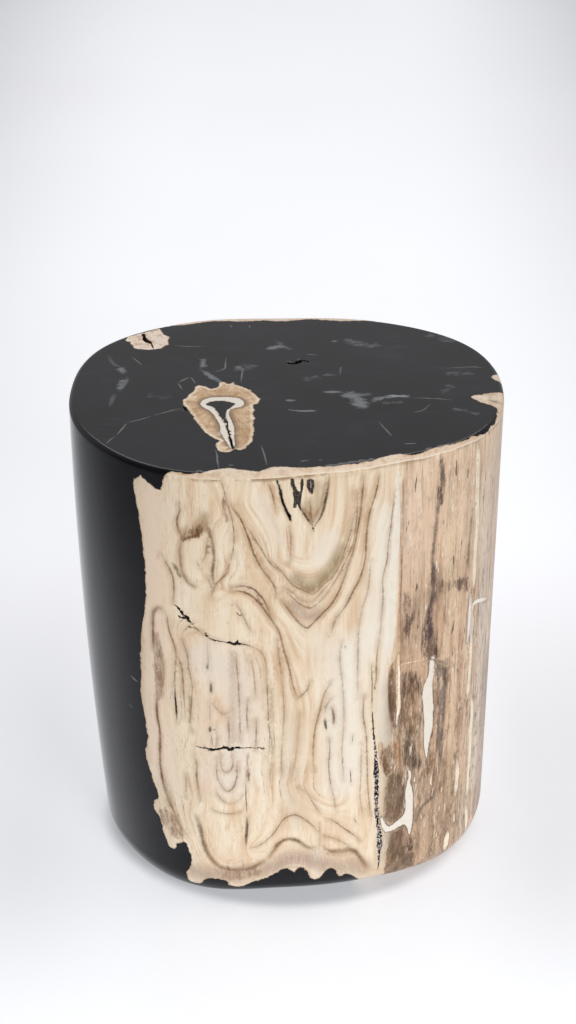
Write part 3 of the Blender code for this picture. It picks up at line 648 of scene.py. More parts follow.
# Patches with an edge: a colour, its strength, how soft its edge is in millimetres, how dark a line runs
# round it, and its outline in pixels.
shapes = {
    "whiteBand": ("bone", 0.8, 0.7, 0.0, ((396, 476), (393, 530), (389, 575), (385.5, 620), (385, 638),
        (386.6, 650), (389.6, 663), (391.6, 652), (394.4, 641), (396, 624), (396.5, 597), (397.6, 567),
        (400.2, 530), (400.6, 478))),
    "whiteLens": ("bone", 0.95, 0.5, 0.9, ((430, 660.6), (434.6, 661), (434, 672), (432.4, 684), (433, 700),
        (432.8, 722), (430.4, 736), (428, 748), (426.4, 757.6), (424.2, 748), (423.6, 735), (424, 719),
        (422.2, 699), (423, 690), (427, 679), (429.4, 671))),
    "spike": ("apricot", 0.9, 0.4, 0.6, ((397, 656), (399.4, 656), (399.3, 681), (400.4, 705), (398.5, 716),
        (396.6, 726), (396.4, 705), (396, 680))),
    "yVein": ("bone", 0.95, 0.5, 0.8, ((408, 771), (410.6, 770.6), (411.6, 776), (410.4, 783), (412.6, 792),
        (412.8, 806), (412, 822), (409.4, 834.5), (407, 829), (404, 824.6), (399.5, 826), (394, 829.6),
        (388, 832), (384, 831), (381, 824), (380, 817), (382.4, 819), (386, 825), (392, 825.4), (398, 820),
        (403, 815.6), (405.4, 808), (405.4, 795), (406.8, 784), (408.4, 778))),
    "brownOval": ("moss", 0.8, 1.5, 0.6, ((388.5, 777), (394, 775), (400, 777), (403.4, 786), (403, 797),
        (402.4, 808), (397.6, 817), (391.6, 822), (387.4, 820), (384.8, 813), (385.4, 800), (386.6, 788))),
    "olivePatch": ("bark", 0.85, 1.1, 0.4, ((390.8, 672), (393.4, 671), (394, 690), (394, 708), (393, 722),
        (390.6, 713), (389.4, 702), (389, 689))),
    "lowPatch": ("moss", 0.75, 1.7, 0.6, ((391.6, 834.6), (396, 832.6), (400.4, 830), (403, 834),
        (402.6, 846), (405, 854), (413.4, 853), (412.6, 866), (405, 876), (391, 878), (386, 870),
        (386.6, 860), (388.6, 848))),
    "grayLens": ("stale", 0.85, 1.5, 0.0, ((435.4, 665), (445, 667), (444.8, 690), (443, 713), (441.6, 735),
        (440.6, 754), (438.4, 772), (437, 752), (437, 730), (437.6, 705), (437, 685))),
    "branchPatch": ("shell", 0.8, 0.7, 0.6, ((470.2, 593), (471.8, 597.6), (472.4, 603), (474, 607),
        (473.4, 614), (474.2, 621), (473, 632), (472.2, 645), (470, 645), (469.2, 634), (467.8, 643.6),
        (465.8, 641), (467, 632), (468, 622), (468.2, 610), (469.2, 600))),
    "cluster": ("soot", 0.55, 3.2, 0.0, ((404.4, 735), (409, 728), (413, 738), (417, 749), (422.6, 758),
        (422.6, 766), (414, 768.4), (408, 767.4), (405, 761), (403.6, 748))),
    "clusterFar": ("bark", 0.7, 2.8, 0.0, ((426.6, 761), (430, 754), (433, 763), (429, 773), (426, 776),
        (425.6, 768))),
    "leftOlive": ("bark", 0.9, 1.4, 0.3, ((385, 752), (388.5, 746), (391.4, 750), (391, 762), (389.6, 773),
        (385, 772), (382, 764), (380.6, 752), (382.6, 749))),
    "lowDarkSpot": ("soot", 0.8, 1.3, 0.0, ((405.6, 836), (409, 838), (411.4, 840), (412, 849), (408, 851),
        (405.4, 845))),
    "blot": ("coffee", 0.85, 2.6, 0.0, ((455, 582), (461, 578), (467, 577), (468.6, 583), (467, 590),
        (461, 592), (456, 588))),
    "smudge": ("coffee", 0.6, 2.8, 0.0, ((437, 583), (442, 580), (450, 583), (451, 588), (444, 592),
        (438, 590))),
    "leftDark": ("mauve", 0.8, 2.4, 0.0, ((404.6, 592), (408, 596), (411, 604), (411.5, 618), (408, 632),
        (404.4, 640), (404.2, 612))),
    "streakTop": ("mauve", 0.85, 1.3, 0.0, ((440.4, 460), (444.6, 460), (445, 482), (443.5, 503), (440, 503),
        (439.6, 482))),
    "streakLow": ("plum", 0.95, 1.8, 0.0, ((429, 610), (433, 618), (437, 640), (437.4, 657), (424, 657),
        (423.5, 640), (426, 620))),
    "streakMiddle": ("mauve", 0.75, 1.8, 0.0, ((434, 566), (437.5, 585), (435, 604), (430, 606),
        (428.5, 596), (430.5, 580))),
    "rustPatch": ("ochre", 0.45, 2.6, 0.0, ((394.6, 744), (400, 742), (401, 756), (400.6, 769), (396, 771),
        (393.6, 758))),
    "mottled": ("coffee", 0.75, 2.6, 0.0, ((402, 673), (408, 671), (417, 673), (419, 688), (413, 697),
        (404, 696), (402.4, 684))),
    "slitAbove": ("coffee", 0.8, 0.8, 0.0, ((426, 645), (430, 647), (432, 653), (429, 655), (425.5, 652))),
    "leftLens": ("rust", 0.7, 3.2, 0.3, ((156, 634), (159, 640), (162.6, 655), (163, 675), (160.5, 695),
        (157.8, 699), (156, 684), (155, 660))),
    "lowerBlob": ("rust", 0.6, 4.5, 0.2, ((160, 812), (165, 810), (170, 814), (176, 817), (179, 825),
        (183, 833), (180, 838), (172, 836), (168, 829), (163, 822))),
    "footFringe": ("umber", 0.4, 2.6, 0.0, ((216, 868.6), (225, 872.4), (238, 874), (250, 872.6), (261, 867),
        (262, 873), (250, 878), (236, 880), (222, 878))),
    "archFringe": ("umber", 0.9, 1.6, 0.0, ((181, 541), (186, 540), (191, 538.4), (196, 538.4), (200, 534.6),
        (204, 530), (207, 525), (206, 518), (202.5, 520.6), (199, 525), (195, 528), (190, 531), (185, 533.6),
        (181.5, 537))),
    "vHeart": ("soot", 0.97, 0.5, 0.0, ((291, 479), (293.4, 478.6), (294.6, 483), (297, 488.6),
        (299.6, 491.5), (301, 486), (300.8, 480), (303.2, 479.6), (303, 488), (301.6, 494), (300.6, 500),
        (300.6, 506), (302, 512), (300, 510.5), (298, 506), (297, 504.6), (296, 507.6), (293.4, 507.6),
        (293.2, 500), (291.8, 492), (290.8, 485))),
    "vPupil": ("soot", 0.95, 0.5, 0.3, ((307.6, 479.2), (312.8, 478.8), (314.2, 484), (313.8, 489),
        (311.8, 494), (309.4, 492.6), (307.4, 488), (306.8, 483))),
    "slit": ("soot", 0.97, 0.5, 0.3, ((276.2, 480), (277.6, 480.4), (280.2, 487), (282, 494), (283, 501),
        (285.6, 507), (288.2, 512), (290.6, 517), (291.4, 522), (289.4, 520), (286.8, 515), (284.6, 510.5),
        (282.4, 505), (280.9, 500), (279.6, 495), (278.6, 489), (277, 484))),
    "warmRib": ("rust", 0.8, 1.5, 0.0, ((246.2, 755), (248.4, 755), (249.4, 768), (248.4, 781), (246.4, 781),
        (245.5, 768))),
    "kneeWedge": ("umber", 0.7, 1.1, 0.0, ((222, 494), (224.6, 500), (227, 510), (227.8, 521), (225.4, 522),
        (223, 512), (221.6, 502))),
    "cheekSpot": ("bark", 0.75, 1.3, 0.0, ((172, 562.5), (175, 563.5), (180.5, 571), (181.4, 576.5),
        (178.5, 576), (174, 569.5))),
    "knotBand": ("bone", 0.98, 0.3, 0.8, ((200.4, 404.1), (202.9, 400.3), (209.2, 397.8), (218, 396.8),
        (228.1, 396.8), (237, 397.8), (242.7, 400.3), (244.3, 403.5), (240.8, 406.6), (234.4, 407.9),
        (230, 409.8), (228.8, 413.6), (230.7, 418.6), (233.2, 424.3), (234.4, 430.6), (234.2, 436.9),
        (235, 443.2), (234.4, 447), (231.8, 448.6), (229.6, 446.4), (226.9, 442), (223.7, 436.9),
        (220.6, 431.9), (220.4, 426.8), (218, 421.8), (214.2, 415.5), (209.2, 410.4), (202.9, 407.2))),
}

# Places where the growth rings fade into plain stone: how far, in millimetres, and a line of pixels.
calmPlaces = {
    "insideKnot": (26, ((194, 552), (196, 566))),
    "underArch": (24, ((222, 612), (250, 622), (262, 640))),
    "seamShoulder": (16, ((205, 620), (228, 632))),
    "insideV": (16, ((300, 545), (318, 550))),
    "aboveKnot": (16, ((200, 492), (206, 505))),
    "basinHeart": (20, ((226, 828), (232, 850))),
    "paleRight": (24, ((392, 540), (384, 620), (350, 700))),
    "leftEdge": (14, ((150, 500), (152, 560), (160, 600))),
}

# Pale clouds in the dark stone of the seat, given as the tints are.
clouds = {
    "lens": ("ash", 5, 0.8, ((325, 392), (338, 392))),
    "spot": ("ash", 4.5, 0.8, ((289, 400.5), (295, 400.5))),
    "dash": ("ash", 3.2, 0.8, ((290, 410), (303, 411), (315, 410.5))),
    "bigBlot": ("ash", 13, 0.85, ((350, 395), (358, 400), (360, 405))),
    "bigBlotTail": ("smoke", 6, 0.7, ((360, 395), (369, 394))),
    "streak": ("ash", 6, 0.8, ((374, 400), (386, 397), (397, 396), (408, 396.5))),
    "streakBright": ("mist", 3, 0.8, ((392, 395.5), (400, 396), (405, 396))),
    "streakUnder": ("smoke", 6, 0.6, ((385, 403), (400, 402))),
    "rightBlot": ("smoke", 5.5, 0.65, ((455, 409), (466, 411), (478, 414))),
    "farBlot": ("smoke", 12, 0.6, ((350, 341), (360, 344), (374, 345))),
    "farSpot": ("ash", 4.5, 0.6, ((334, 341.5), (337, 341.5))),
    "farRight": ("slate", 12, 0.5, ((430, 335), (450, 341))),
    "rightHaze": ("slate", 12, 0.5, ((452, 373), (468, 374))),
    "rightHazeLow": ("smoke", 8, 0.5, ((444, 392), (450, 386))),
    "knotHaze": ("smoke", 12, 0.6, ((240, 368), (250, 367))),
    "knotSpot": ("ash", 4, 0.7, ((239, 367), (242, 368))),
    "leftBlot": ("ash", 6.5, 0.75, ((120, 369), (124, 371))),
    "leftBlotLow": ("ash", 7, 0.65, ((124, 380), (120, 388))),
    "aboveBlot": ("ash", 6, 0.7, ((203, 360), (203, 366))),
    "aboveBlotLow": ("ash", 6, 0.7, ((206, 373), (218, 381))),
    "topBlot": ("ash", 6.5, 0.7, ((270, 348), (280, 347))),
    "topFork": ("smoke", 5, 0.6, ((278, 342), (284, 347), (290, 349))),
    "lowHaze": ("slate", 9, 0.4, ((150, 395), (168, 398))),
    "centreHaze": ("slate", 14, 0.4, ((310, 378), (330, 375))),
}

# The skin laid flat: the seat stays as it is, and the wall opens round it like a skirt, at equal angles.

meshing = {
    "spread": 0.187,        # metres; near the wall's mean radius
    "wallStep": 0.0036,
    "seatStep": 0.0034,
    "baseStep": 0.009,
    "clear": 0.0013,        # a plain point nearer than this to a drawn line is dropped
    "gap": 0.00022,         # two lines further apart than this get a point between them
    "rowShare": 0.866,      # a row's height, as a share of the step along it
    "onLine": 2e-5,         # a point this near to a line is on it
    "merge": 1e-7,
}


def chartFrom(u, t):
    edge = edgeRadius(u)
    reach = np.where(t > 0, edge * np.exp(np.clip(t, 0, None) / meshing["spread"]), edge + t)
    return np.column_stack([reach * np.cos(turnOf(u)), reach * np.sin(turnOf(u))])


def placeFrom(chart):
    u = uTowards(chart)
    edge = edgeRadius(u)
    reach = np.hypot(chart[:, 0], chart[:, 1])
    t = np.where(reach > edge, meshing["spread"] * np.log(np.maximum(reach, 1e-9) / edge), reach - edge)
    return u, t


def spaceFrom(u, t):
    points = skin(u, t)
    inside = t < 0
    reach = (edgeRadius(u) + t)[inside]
    points[inside, 0] = heart[0] + reach * np.cos(turnOf(u[inside]))
    points[inside, 1] = heart[1] + reach * np.sin(turnOf(u[inside]))
    return points


def tracePixels(pixels, step=1.8, closed=False, shake=0.0, seed=0):
    # a line of pixels, smoothed, shaken a little and laid on the skin
    line = smoothLine(pixels, step, closed)
    line[:, 0] += waver(len(line), seed, shake)
    line[:, 1] += waver(len(line), seed + 1, shake)
    return placeOnSkin(onSkin(line))


def traceBearings(places, step=0.0024, shake=0.0, seed=0):
    # the same for a line of places: a bearing in degrees, and metres down the profile
    radius = meshing["spread"]
    flat = np.array([(math.radians(bearing) * radius, t) for bearing, t in places])
    line = smoothLine(flat, step)
    line[:, 0] += waver(len(line), seed, shake)
    line[:, 1] += waver(len(line), seed + 1, shake)
    return uFromBearing(np.degrees(line[:, 0] / radius)), line[:, 1]


def joinTraces(traces):
    return np.concatenate([u for u, t in traces]), np.concatenate([t for u, t in traces])


# Where the black stone ends. The cream rind's edge runs up the left of the front, along the seat's edge to
# the right, round the back and down again.

rind = {
    "shake": 0.28,
    "bottom": ((360, 880), (348, 874), (339.5, 875.6), (332.7, 868.7), (325.8, 870.4), (321.5, 875.6),
        (315.4, 879), (309.4, 875.6), (306.8, 870.4), (301.7, 867), (293, 872), (289.6, 869.6),
        (284.4, 868.7), (270, 876.4), (254, 881), (243, 886), (230, 885.5), (225.4, 880.4), (207, 878.8),
        (201.5, 883), (190.3, 881), (186.3, 873), (190.3, 867), (191, 855.7), (185.5, 843), (177.6, 843.7),
        (176, 848.5), (169.6, 846), (163.2, 830), (160, 817.4), (154.4, 808), (154.4, 801.5), (159.2, 796.7),
        (153.6, 782), (146.5, 758), (145.7, 749), (147.3, 739), (146.5, 726.5), (141.7, 698), (140.9, 690),
        (141, 672), (141, 647), (142.9, 622.4), (145.7, 599), (145.3, 572.6), (143.7, 552.7), (138, 509.6),
        (133.7, 483), (139.5, 475.6), (145, 480), (159.4, 489), (164.4, 475.6), (173, 471.5), (190, 474),
        (213, 470), (228, 468), (257, 471), (274, 467), (300, 467.6), (330, 466.5), (353, 464), (372.5, 460),
        (390, 455), (398, 454), (408, 454.4), (419.5, 453), (433, 448), (452, 444), (467, 439.5), (471, 437),
        (485, 433), (490, 427), (494, 424), (496.5, 419), (496.5, 412), (496, 407), (484, 403), (471, 397),
        (486, 393.5), (499, 392)),
    "back": ((-3.9, -0.0002), (-2.4, 0.007), (0, 0.011), (2.2, 0.009), (3.4, 0.002), (4.6, -0.003),
        (6.2, -0.0053), (7.6, 0.0004), (9.4, 0.008), (13, 0.006), (18, 0.005), (20, 0.014), (23, 0.02),
        (25, 0.043), (28.6, 0.05), (31, 0.067), (34, 0.074), (37, 0.062), (39, 0.036), (42, 0.028),
        (46, 0.033), (49, 0.018), (54, 0.012), (59, 0.003), (66, -0.004), (74, -0.0055), (80, -0.003),
        (88, -0.0065), (96, -0.004), (104, -0.0065), (112, -0.003), (120, -0.0045), (125, -0.002),
        (126.4, 0.007), (127, 0.018), (129, 0.032), (129.4, 0.058), (131.8, 0.074), (131, 0.1),
        (128.4, 0.11), (128.2, 0.156), (129.6, 0.17), (128.8, 0.196), (125.6, 0.208), (126.8, 0.232),
        (126.2, 0.286), (128.6, 0.298), (128, 0.328), (131.6, 0.342), (131, 0.37), (129.2, 0.38),
        (130, 0.408), (133.4, 0.42), (132.4, 0.448), (131, 0.472)),
    "baseInset": 0.014,     # how far the rind reaches in under the block
}

# Pieces of rind closed in by the black stone, and black closed in by those.

knots = {
    "centreKnot": ((183.3, 400.3), (187.7, 397.1), (188.4, 394.6), (193.4, 391.5), (195.3, 387.7),
        (199.1, 385.4), (205.4, 386.2), (210.5, 388.7), (215.5, 387.9), (219, 386), (219.6, 382.9),
        (225.6, 382.4), (229.4, 384.1), (233.2, 382.6), (235.1, 384.9), (240.8, 386.2), (247.1, 388.3),
        (252.1, 391.5), (255.9, 395.3), (259.7, 399.3), (257.8, 403.1), (252.6, 405.1), (254, 407.9),
        (253.2, 412.9), (254, 418), (253.2, 424.3), (254, 429.3), (252.8, 435.7), (252.1, 440.7),
        (248.3, 444.5), (243.9, 448.9), (238.2, 449.8), (234.4, 448.9), (230.7, 451.4), (224.3, 452.7),
        (219.3, 450.8), (215.5, 447), (216.8, 442.6), (219.6, 440.6), (215.5, 439.4), (209.2, 435),
        (204.1, 431.9), (201.6, 427.4), (195.3, 420.5), (192.1, 415.5), (188.4, 410.4), (184.6, 406.6),
        (182.6, 403.6)),
    "centreHeart": ((206.7, 404.1), (213.6, 401.6), (220.6, 400.9), (228.1, 401.6), (234.4, 404.1),
        (230.7, 407.9), (226.9, 410.4), (225.6, 415.5), (226.9, 420.5), (227.7, 425.6), (229.4, 430.6),
        (230.6, 436.9), (231.2, 443.2), (229.6, 440.7), (228.1, 433.1), (226.2, 426.8), (223.7, 421.8),
        (219.3, 415.5), (215.5, 409.1), (211.7, 406.6)),
    "leftKnot": ((124.9, 341), (127.2, 338.3), (131.3, 334.8), (137.5, 333.5), (141.6, 330.7), (147, 328.9),
        (151.1, 329.6), (156.6, 328.6), (160.7, 329.8), (164.1, 334.8), (168.9, 336.9), (168.2, 341),
        (168.9, 344.4), (165.5, 345.1), (162.1, 347.8), (156.6, 348.9), (149.8, 349.9), (141.6, 349.2),
        (134.7, 348.5), (132, 345.8), (129.9, 342.4)),
}

# The brown stretch on the right of the front begins at this line.
divide = ((404, 438), (403, 475), (402, 520), (401.5, 560), (399.5, 595), (398, 630), (399, 652), (392, 664),
    (388.5, 672), (388, 702), (390.5, 724), (391, 738), (388, 750), (384, 745), (380, 741), (378, 748),
    (379, 758), (381, 768), (385, 775), (386.5, 780), (384.5, 788), (383.5, 800), (384, 814), (388, 823),
    (394.5, 826.5), (392.5, 836), (387.5, 848), (384.5, 860), (383.5, 879))

# Open cracks and voids. Each place along one is x, y, half its width and its depth, in pixels and
# millimetres.
hollows = {
    "shoulderA": ((174.2, 604.6, 0.5, 3), (176.4, 606.4, 0.7, 5), (178.4, 608.4, 1.3, 7),
        (179.4, 610.4, 0.8, 6), (181.4, 612, 1.5, 8), (182.6, 614.6, 1.1, 7), (184, 616, 0.9, 6),
        (185.4, 616.6, 1.7, 8), (187.4, 619, 2.1, 10), (189.4, 621, 1.6, 9), (191.2, 622.8, 0.6, 5),
        (194.5, 627, 0.4, 3), (199, 631.4, 0.4, 2)),
    "shoulderB": ((177.4, 615, 0.4, 2), (179.2, 616.6, 0.9, 4), (181.4, 617.6, 0.7, 4), (184, 617.8, 1.1, 5),
        (186.4, 618.6, 0.8, 4)),
    "shoulderC": ((187.8, 626.8, 0.35, 2), (190, 627.4, 0.8, 4), (191.6, 627.2, 0.4, 3),
        (194, 628.2, 0.6, 3), (196.4, 629.4, 0.4, 2)),
    "seamDot": ((206, 634.6, 0.4, 2), (206.6, 636, 0.8, 4), (207.4, 637.4, 0.4, 2)),
    "seamA": ((209, 637.6, 0.35, 2), (212.6, 639.6, 0.6, 3), (214.8, 640.8, 1.0, 5), (217, 640.4, 0.7, 4),
        (219, 641.4, 0.5, 3), (222.6, 641.6, 0.35, 2), (226.4, 642.4, 0.7, 4), (229.6, 642.4, 1.2, 6),
        (232, 643.4, 1.0, 6), (234.8, 644, 1.9, 8), (237, 643.6, 1.1, 7), (239.6, 644.2, 1.0, 6),
        (243, 644.2, 0.5, 3), (250.6, 646, 0.4, 2)),
    "levelA": ((196.7, 746.5, 0.5, 2), (203, 748, 1.0, 6), (208, 748.6, 1.2, 8), (211.5, 750, 2.2, 11),
        (214, 749.2, 1.4, 10), (219, 749.2, 1.3, 9), (225.4, 747.6, 1.5, 10), (230, 749.4, 2.0, 11),
        (236.5, 747.6, 1.5, 9), (241.3, 748.3, 0.9, 5), (248, 748.2, 0.5, 3), (257, 748.5, 0.45, 2)),
    "levelDot": ((261, 748.8, 0.5, 2), (262, 749, 0.8, 4), (263, 749.2, 0.5, 2)),
    "fissure": ((372.3, 712, 0.3, 2), (373, 727.5, 0.8, 5), (374, 739.5, 1.1, 7), (375.7, 753, 1.5, 9),
        (376.6, 770, 1.9, 10), (376.6, 788, 1.8, 10), (376.6, 805, 2.0, 11), (377.4, 822, 1.6, 11),
        (379.6, 839, 2.7, 13), (379.2, 853, 1.1, 8), (378.3, 869, 0.4, 3)),
    "slitDeep": ((281, 493, 0.4, 1), (283, 503, 0.8, 3), (286, 509, 0.5, 2), (289.6, 516.5, 1.0, 3),
        (291, 521, 0.3, 1)),
    "heartVoid": ((287, 362.5, 1.5, 4), (291, 363.6, 2.2, 7), (296, 363, 3.0, 9), (299.5, 361.3, 3.0, 9),
        (303, 360.6, 1.8, 6), (306, 361, 1.0, 3)),
    "leftKnotVoid": ((142.8, 333.4, 1.4, 5), (144.2, 336.6, 2.2, 9), (145.4, 339.6, 2.8, 11),
        (147.4, 341.2, 3.0, 11), (149.6, 342.2, 2.6, 10), (151.6, 344.2, 1.6, 8), (153.4, 348.6, 0.6, 3)),
    "knotSlit": ((227.4, 421, 0.5, 3), (227.8, 429, 0.8, 6), (229.8, 436.6, 1.0, 7), (231.4, 443, 1.3, 8),
        (232.6, 447, 1.6, 7), (232.8, 448.8, 0.8, 4)),
    "knotPit": ((184.2, 406.4, 1.8, 4), (185.6, 408.4, 2.4, 5), (186.6, 410.4, 1.2, 3)),
}


# The grain away from the front: upright, parting round a few knots (bearing, run, strength and reach).
backGrain = {
    "width": 4.2,           # degrees from one ring to the next
    "sway": 1.1,
    "knots": ((112, 0.30, 2.6, 0.035), (74, 0.17, -3.0, 0.045), (97, 0.09, 2.2, 0.03), (86, 0.38, -2.0, 0.03),
              (20, 0.24, 2.0, 0.03)),
}


def backLevel(someU, someT):
    # upright grain away from the front, which parts round a few knots
    bearing = bearingOf(someU)
    value = (bearing - 80) / backGrain["width"] + backGrain["sway"] * np.sin(someT * 11 + bearing * 0.05)
    for at, run, size, reach in backGrain["knots"]:
        across = np.radians(bearing - at) * meshing["spread"]
        away = (across ** 2 + ((someT - run) * 0.55) ** 2) / reach ** 2
        value = value + size * np.exp(-away)
    return value


# Dark growth rings on the back: how many, how long in metres down the wall, and their look.
backRings = {
    "count": 30, "length": (0.05, 0.28), "start": (0.02, 0.2), "first": 58, "span": 66, "within": (56, 125),
    "seed": 21,
    "half": 0.36, "soft": 0.7, "color": (96, 60, 24), "strength": 0.85, "halo": 0.7, "uneven": 0.4,
}


# Streaks and veins on the right side, by their look in grainLines, as bearings and metres down the wall.
sideLines = {
    "streakDark": (((26, 0.1), (28, 0.17), (26.6, 0.24), (28, 0.3), (27, 0.345)),
                   ((0, 0.2), (2, 0.26), (1, 0.32)), ((41, 0.06), (42.4, 0.11), (41.6, 0.15)),
                   ((14, 0.33), (15, 0.38), (14, 0.43))),
    "paleVein": (((9, 0.02), (9.6, 0.09), (8.6, 0.14)), ((9, 0.17), (10, 0.24), (9.2, 0.3)),
                 ((37, 0.22), (38, 0.29), (37.2, 0.36)), ((-3, 0.36), (-2, 0.42), (-2.6, 0.45)),
                 ((20.6, 0.37), (21.4, 0.41), (20.8, 0.44))),
    "fineDark": (((11, 0.16), (11.6, 0.24), (11, 0.3)), ((46, 0.12), (47, 0.2), (46, 0.27)),
                 ((31.6, 0.1), (32.2, 0.16), (31.4, 0.22))),
}


# How steady the hand is that draws the lines
drawing = {
    "unsteady": 0.22,       # how much a line's width varies, as a share
    "uneven": 0.26,         # the same for its strength, where its look doesn't say
    "shake": 0.22,          # pixels
    "sideShake": 0.0005,    # metres
    "wallRow": 470,         # hollows under this row of pixels are in the wall, and shaken more
}


def taper(count, ends):
    # 0 at both ends of a line, 1 along it
    place = np.minimum(np.arange(count), np.arange(count)[::-1])
    return np.clip((place + 0.6) / max(ends, 1), 0, 1) ** 0.6


def makeStroke(style, u, t, seed):
    ends = taper(len(u), min(8, len(u) / 3))
    unsteady = 1 + waver(len(u), seed + 3, drawing["unsteady"])
    uneven = waver(len(u), seed + 5, style.get("uneven", drawing["uneven"]))
    strength = style["strength"] * np.clip(0.82 + uneven, 0.15, 1) * ends
    return {"u": u, "t": t, "half": style["half"] * ends * unsteady, "soft": np.full(len(u), style["soft"]),
            "color": toLinear(style["color"]), "strength": strength, "halo": np.full(len(u), style["halo"])}


def makeStrokes():
    # every drawn line, with its half width and its strength along it
    found = []
    seed = 100
    for style in grainLines.values():
        for pixels in style["lines"].values():
            seed += 7
            u, t = tracePixels(pixels, shake=drawing["shake"], seed=seed)
            if len(u) > 2:
                found.append(makeStroke(style, u, t, seed))
    for name, lines in sideLines.items():
        for places in lines:
            seed += 7
            u, t = traceBearings(places, shake=drawing["sideShake"], seed=seed)
            found.append(makeStroke(grainLines[name], u, t, seed))
    return found + makeBackStrokes()


def makeBackStrokes():
    # growth rings that keep to one level of the back's grain, each from its own start down the wall
    found = []
    chance = np.random.default_rng(backRings["seed"])
    least, most = backRings["within"]
    for k in range(backRings["count"]):
        bearing = backRings["first"] + (k + chance.uniform(0.1, 0.9)) * backRings["span"] / backRings["count"]
        runs = np.arange(0, chance.uniform(*backRings["length"]), 0.0024)
        runs = runs + chance.uniform(*backRings["start"])
        runs = runs[runs < skinRun - 0.03]
        bearings = np.full(len(runs), bearing)
        wanted = backLevel(uFromBearing(bearing), runs[0])
        for turn in range(12):
            off = backLevel(uFromBearing(bearings), runs) - wanted
            bearings = bearings - np.clip(off * backGrain["width"] * 0.7, -2, 2)
        if len(runs) < 6 or np.abs(np.diff(bearings)).max() > 1.2:
            continue
        if bearings.min() <= least or bearings.max() >= most:
            continue
        found.append(makeStroke(backRings, uFromBearing(bearings), runs, k))
    return found


def makeHollows():
    # the middle line of every crack and void, with its half width and depth in metres
    found = []
    for seed, stations in enumerate(hollows.values()):
        places = smoothLine(stations, 1.0)
        chance = np.random.default_rng(seed + 40)
        onWallFace = places[:, 1].min() > drawing["wallRow"]
        shaken = chance.uniform(-0.3, 0.3, (len(places), 2)) + waver(len(places), seed, 0.3)[:, None]
        u, t = placeOnSkin(onSkin(places[:, :2] + shaken * (1.0 if onWallFace else 0.3)))
        rough = 1 + waver(len(u), seed + 20, 0.3) + chance.uniform(-0.4, 0.4, len(u))
        rough = np.clip(rough, 0.35, 1.9)
        found.append({"u": u, "t": t, "half": places[:, 2] * rough / 1000, "depth": places[:, 3] / 1000})
    return found


def offsetTrace(trace, reach):
    # a line beside a line, that far from it on the skin
    points = spaceFrom(trace["u"], trace["t"])
    normals = skinNormals(trace["u"], trace["t"])
    along = np.gradient(points, axis=0)
    across = np.cross(along, normals)
    across /= np.maximum(np.linalg.norm(across, axis=1), 1e-12)[:, None]
    return placeOnSkin(points + across * np.asarray(reach)[:, None])


def outerArc(start, stop, inset, seed):
    bearings = np.linspace(start, stop, 90)
    return uFromBearing(bearings), skinRun + inset + waver(90, seed, 0.002)


rindFront = tracePixels(rind["bottom"], shake=rind["shake"], seed=1)
rindBack = traceBearings(rind["back"], shake=0.0011, seed=3)
baseArc = outerArc(130, -62, rind["baseInset"], 5)
rindLoop = joinTraces((rindFront, rindBack, baseArc))
knotLoops = {name: tracePixels(pixels, closed=True, shake=0.2, seed=k)
             for k, (name, pixels) in enumerate(knots.items())}
shapeLoops = [tracePixels(look[4], closed=True, shake=0.25, seed=300 + k)
              for k, look in enumerate(shapes.values())]
divideLine = tracePixels(divide, shake=0.25, seed=8)
brownLoop = joinTraces((divideLine, (uFromBearing(np.linspace(-60, 50, 60)), np.full(60, skinRun + 0.1)),
                        (uFromBearing(np.full(30, 50.0)), np.linspace(skinRun, -0.03, 30)),
                        (uFromBearing(np.linspace(50, -60, 60)), np.full(60, -0.03))))
strokes = makeStrokes()
hollowLines = makeHollows()
print("lines drawn:", len(strokes), "strokes,", len(hollowLines), "hollows")


def insideLoop(chart, loop):
    # which chart points a closed loop holds, by counting the loop's crossings to the right of each
    corners = chartFrom(*loop)
    inside = np.zeros(len(chart), bool)
    for (x0, y0), (x1, y1) in zip(corners, np.roll(corners, -1, axis=0)):
        if y0 != y1:
            crosses = (y0 > chart[:, 1]) != (y1 > chart[:, 1])
            inside ^= crosses & (chart[:, 0] < x0 + (chart[:, 1] - y0) * (x1 - x0) / (y1 - y0))
    return inside


def nearestOf(points):
    # a tree that finds the nearest of the points
    tree = KDTree(len(points))
    for k, point in enumerate(points):
        tree.insert(point, k)
    tree.balance()
    return tree


def makeFinder(traces, closed=False):
    # for any points: how far the nearest of these lines is, which sample of them is nearest
    chains = [spaceFrom(u, t) for u, t in traces]
    nexts = []
    start = 0
    for chain in chains:
        order = np.arange(len(chain)) + 1
        order[-1] = 0 if closed else len(chain) - 1
        nexts.append(order + start)
        start += len(chain)
    samples = np.concatenate(chains)
    after = np.concatenate(nexts)
    before = np.arange(len(samples))
    before[after] = np.arange(len(samples))
    tree = nearestOf(samples)

    def find(points):
        nearest = np.array([tree.find(point)[1] for point in points])
        best = np.full(len(points), 1e9)
        for first, second in ((before[nearest], nearest), (nearest, after[nearest])):
            start, end = samples[first], samples[second]
            along = end - start
            length = np.maximum((along ** 2).sum(axis=1), 1e-18)
            part = np.clip(((points - start) * along).sum(axis=1) / length, 0, 1)[:, None]
            best = np.minimum(best, np.linalg.norm(points - start - along * part, axis=1))
        return best, nearest

    return find


edgeFinder = makeFinder([rindFront, rindBack, baseArc])
knotFinder = makeFinder(list(knotLoops.values()), closed=True)
divideFinder = makeFinder([divideLine])
shapeFinder = makeFinder(shapeLoops, closed=True)
inkFinder = makeFinder([(stroke["u"], stroke["t"]) for stroke in strokes])
hollowFinder = makeFinder([(line["u"], line["t"]) for line in hollowLines])


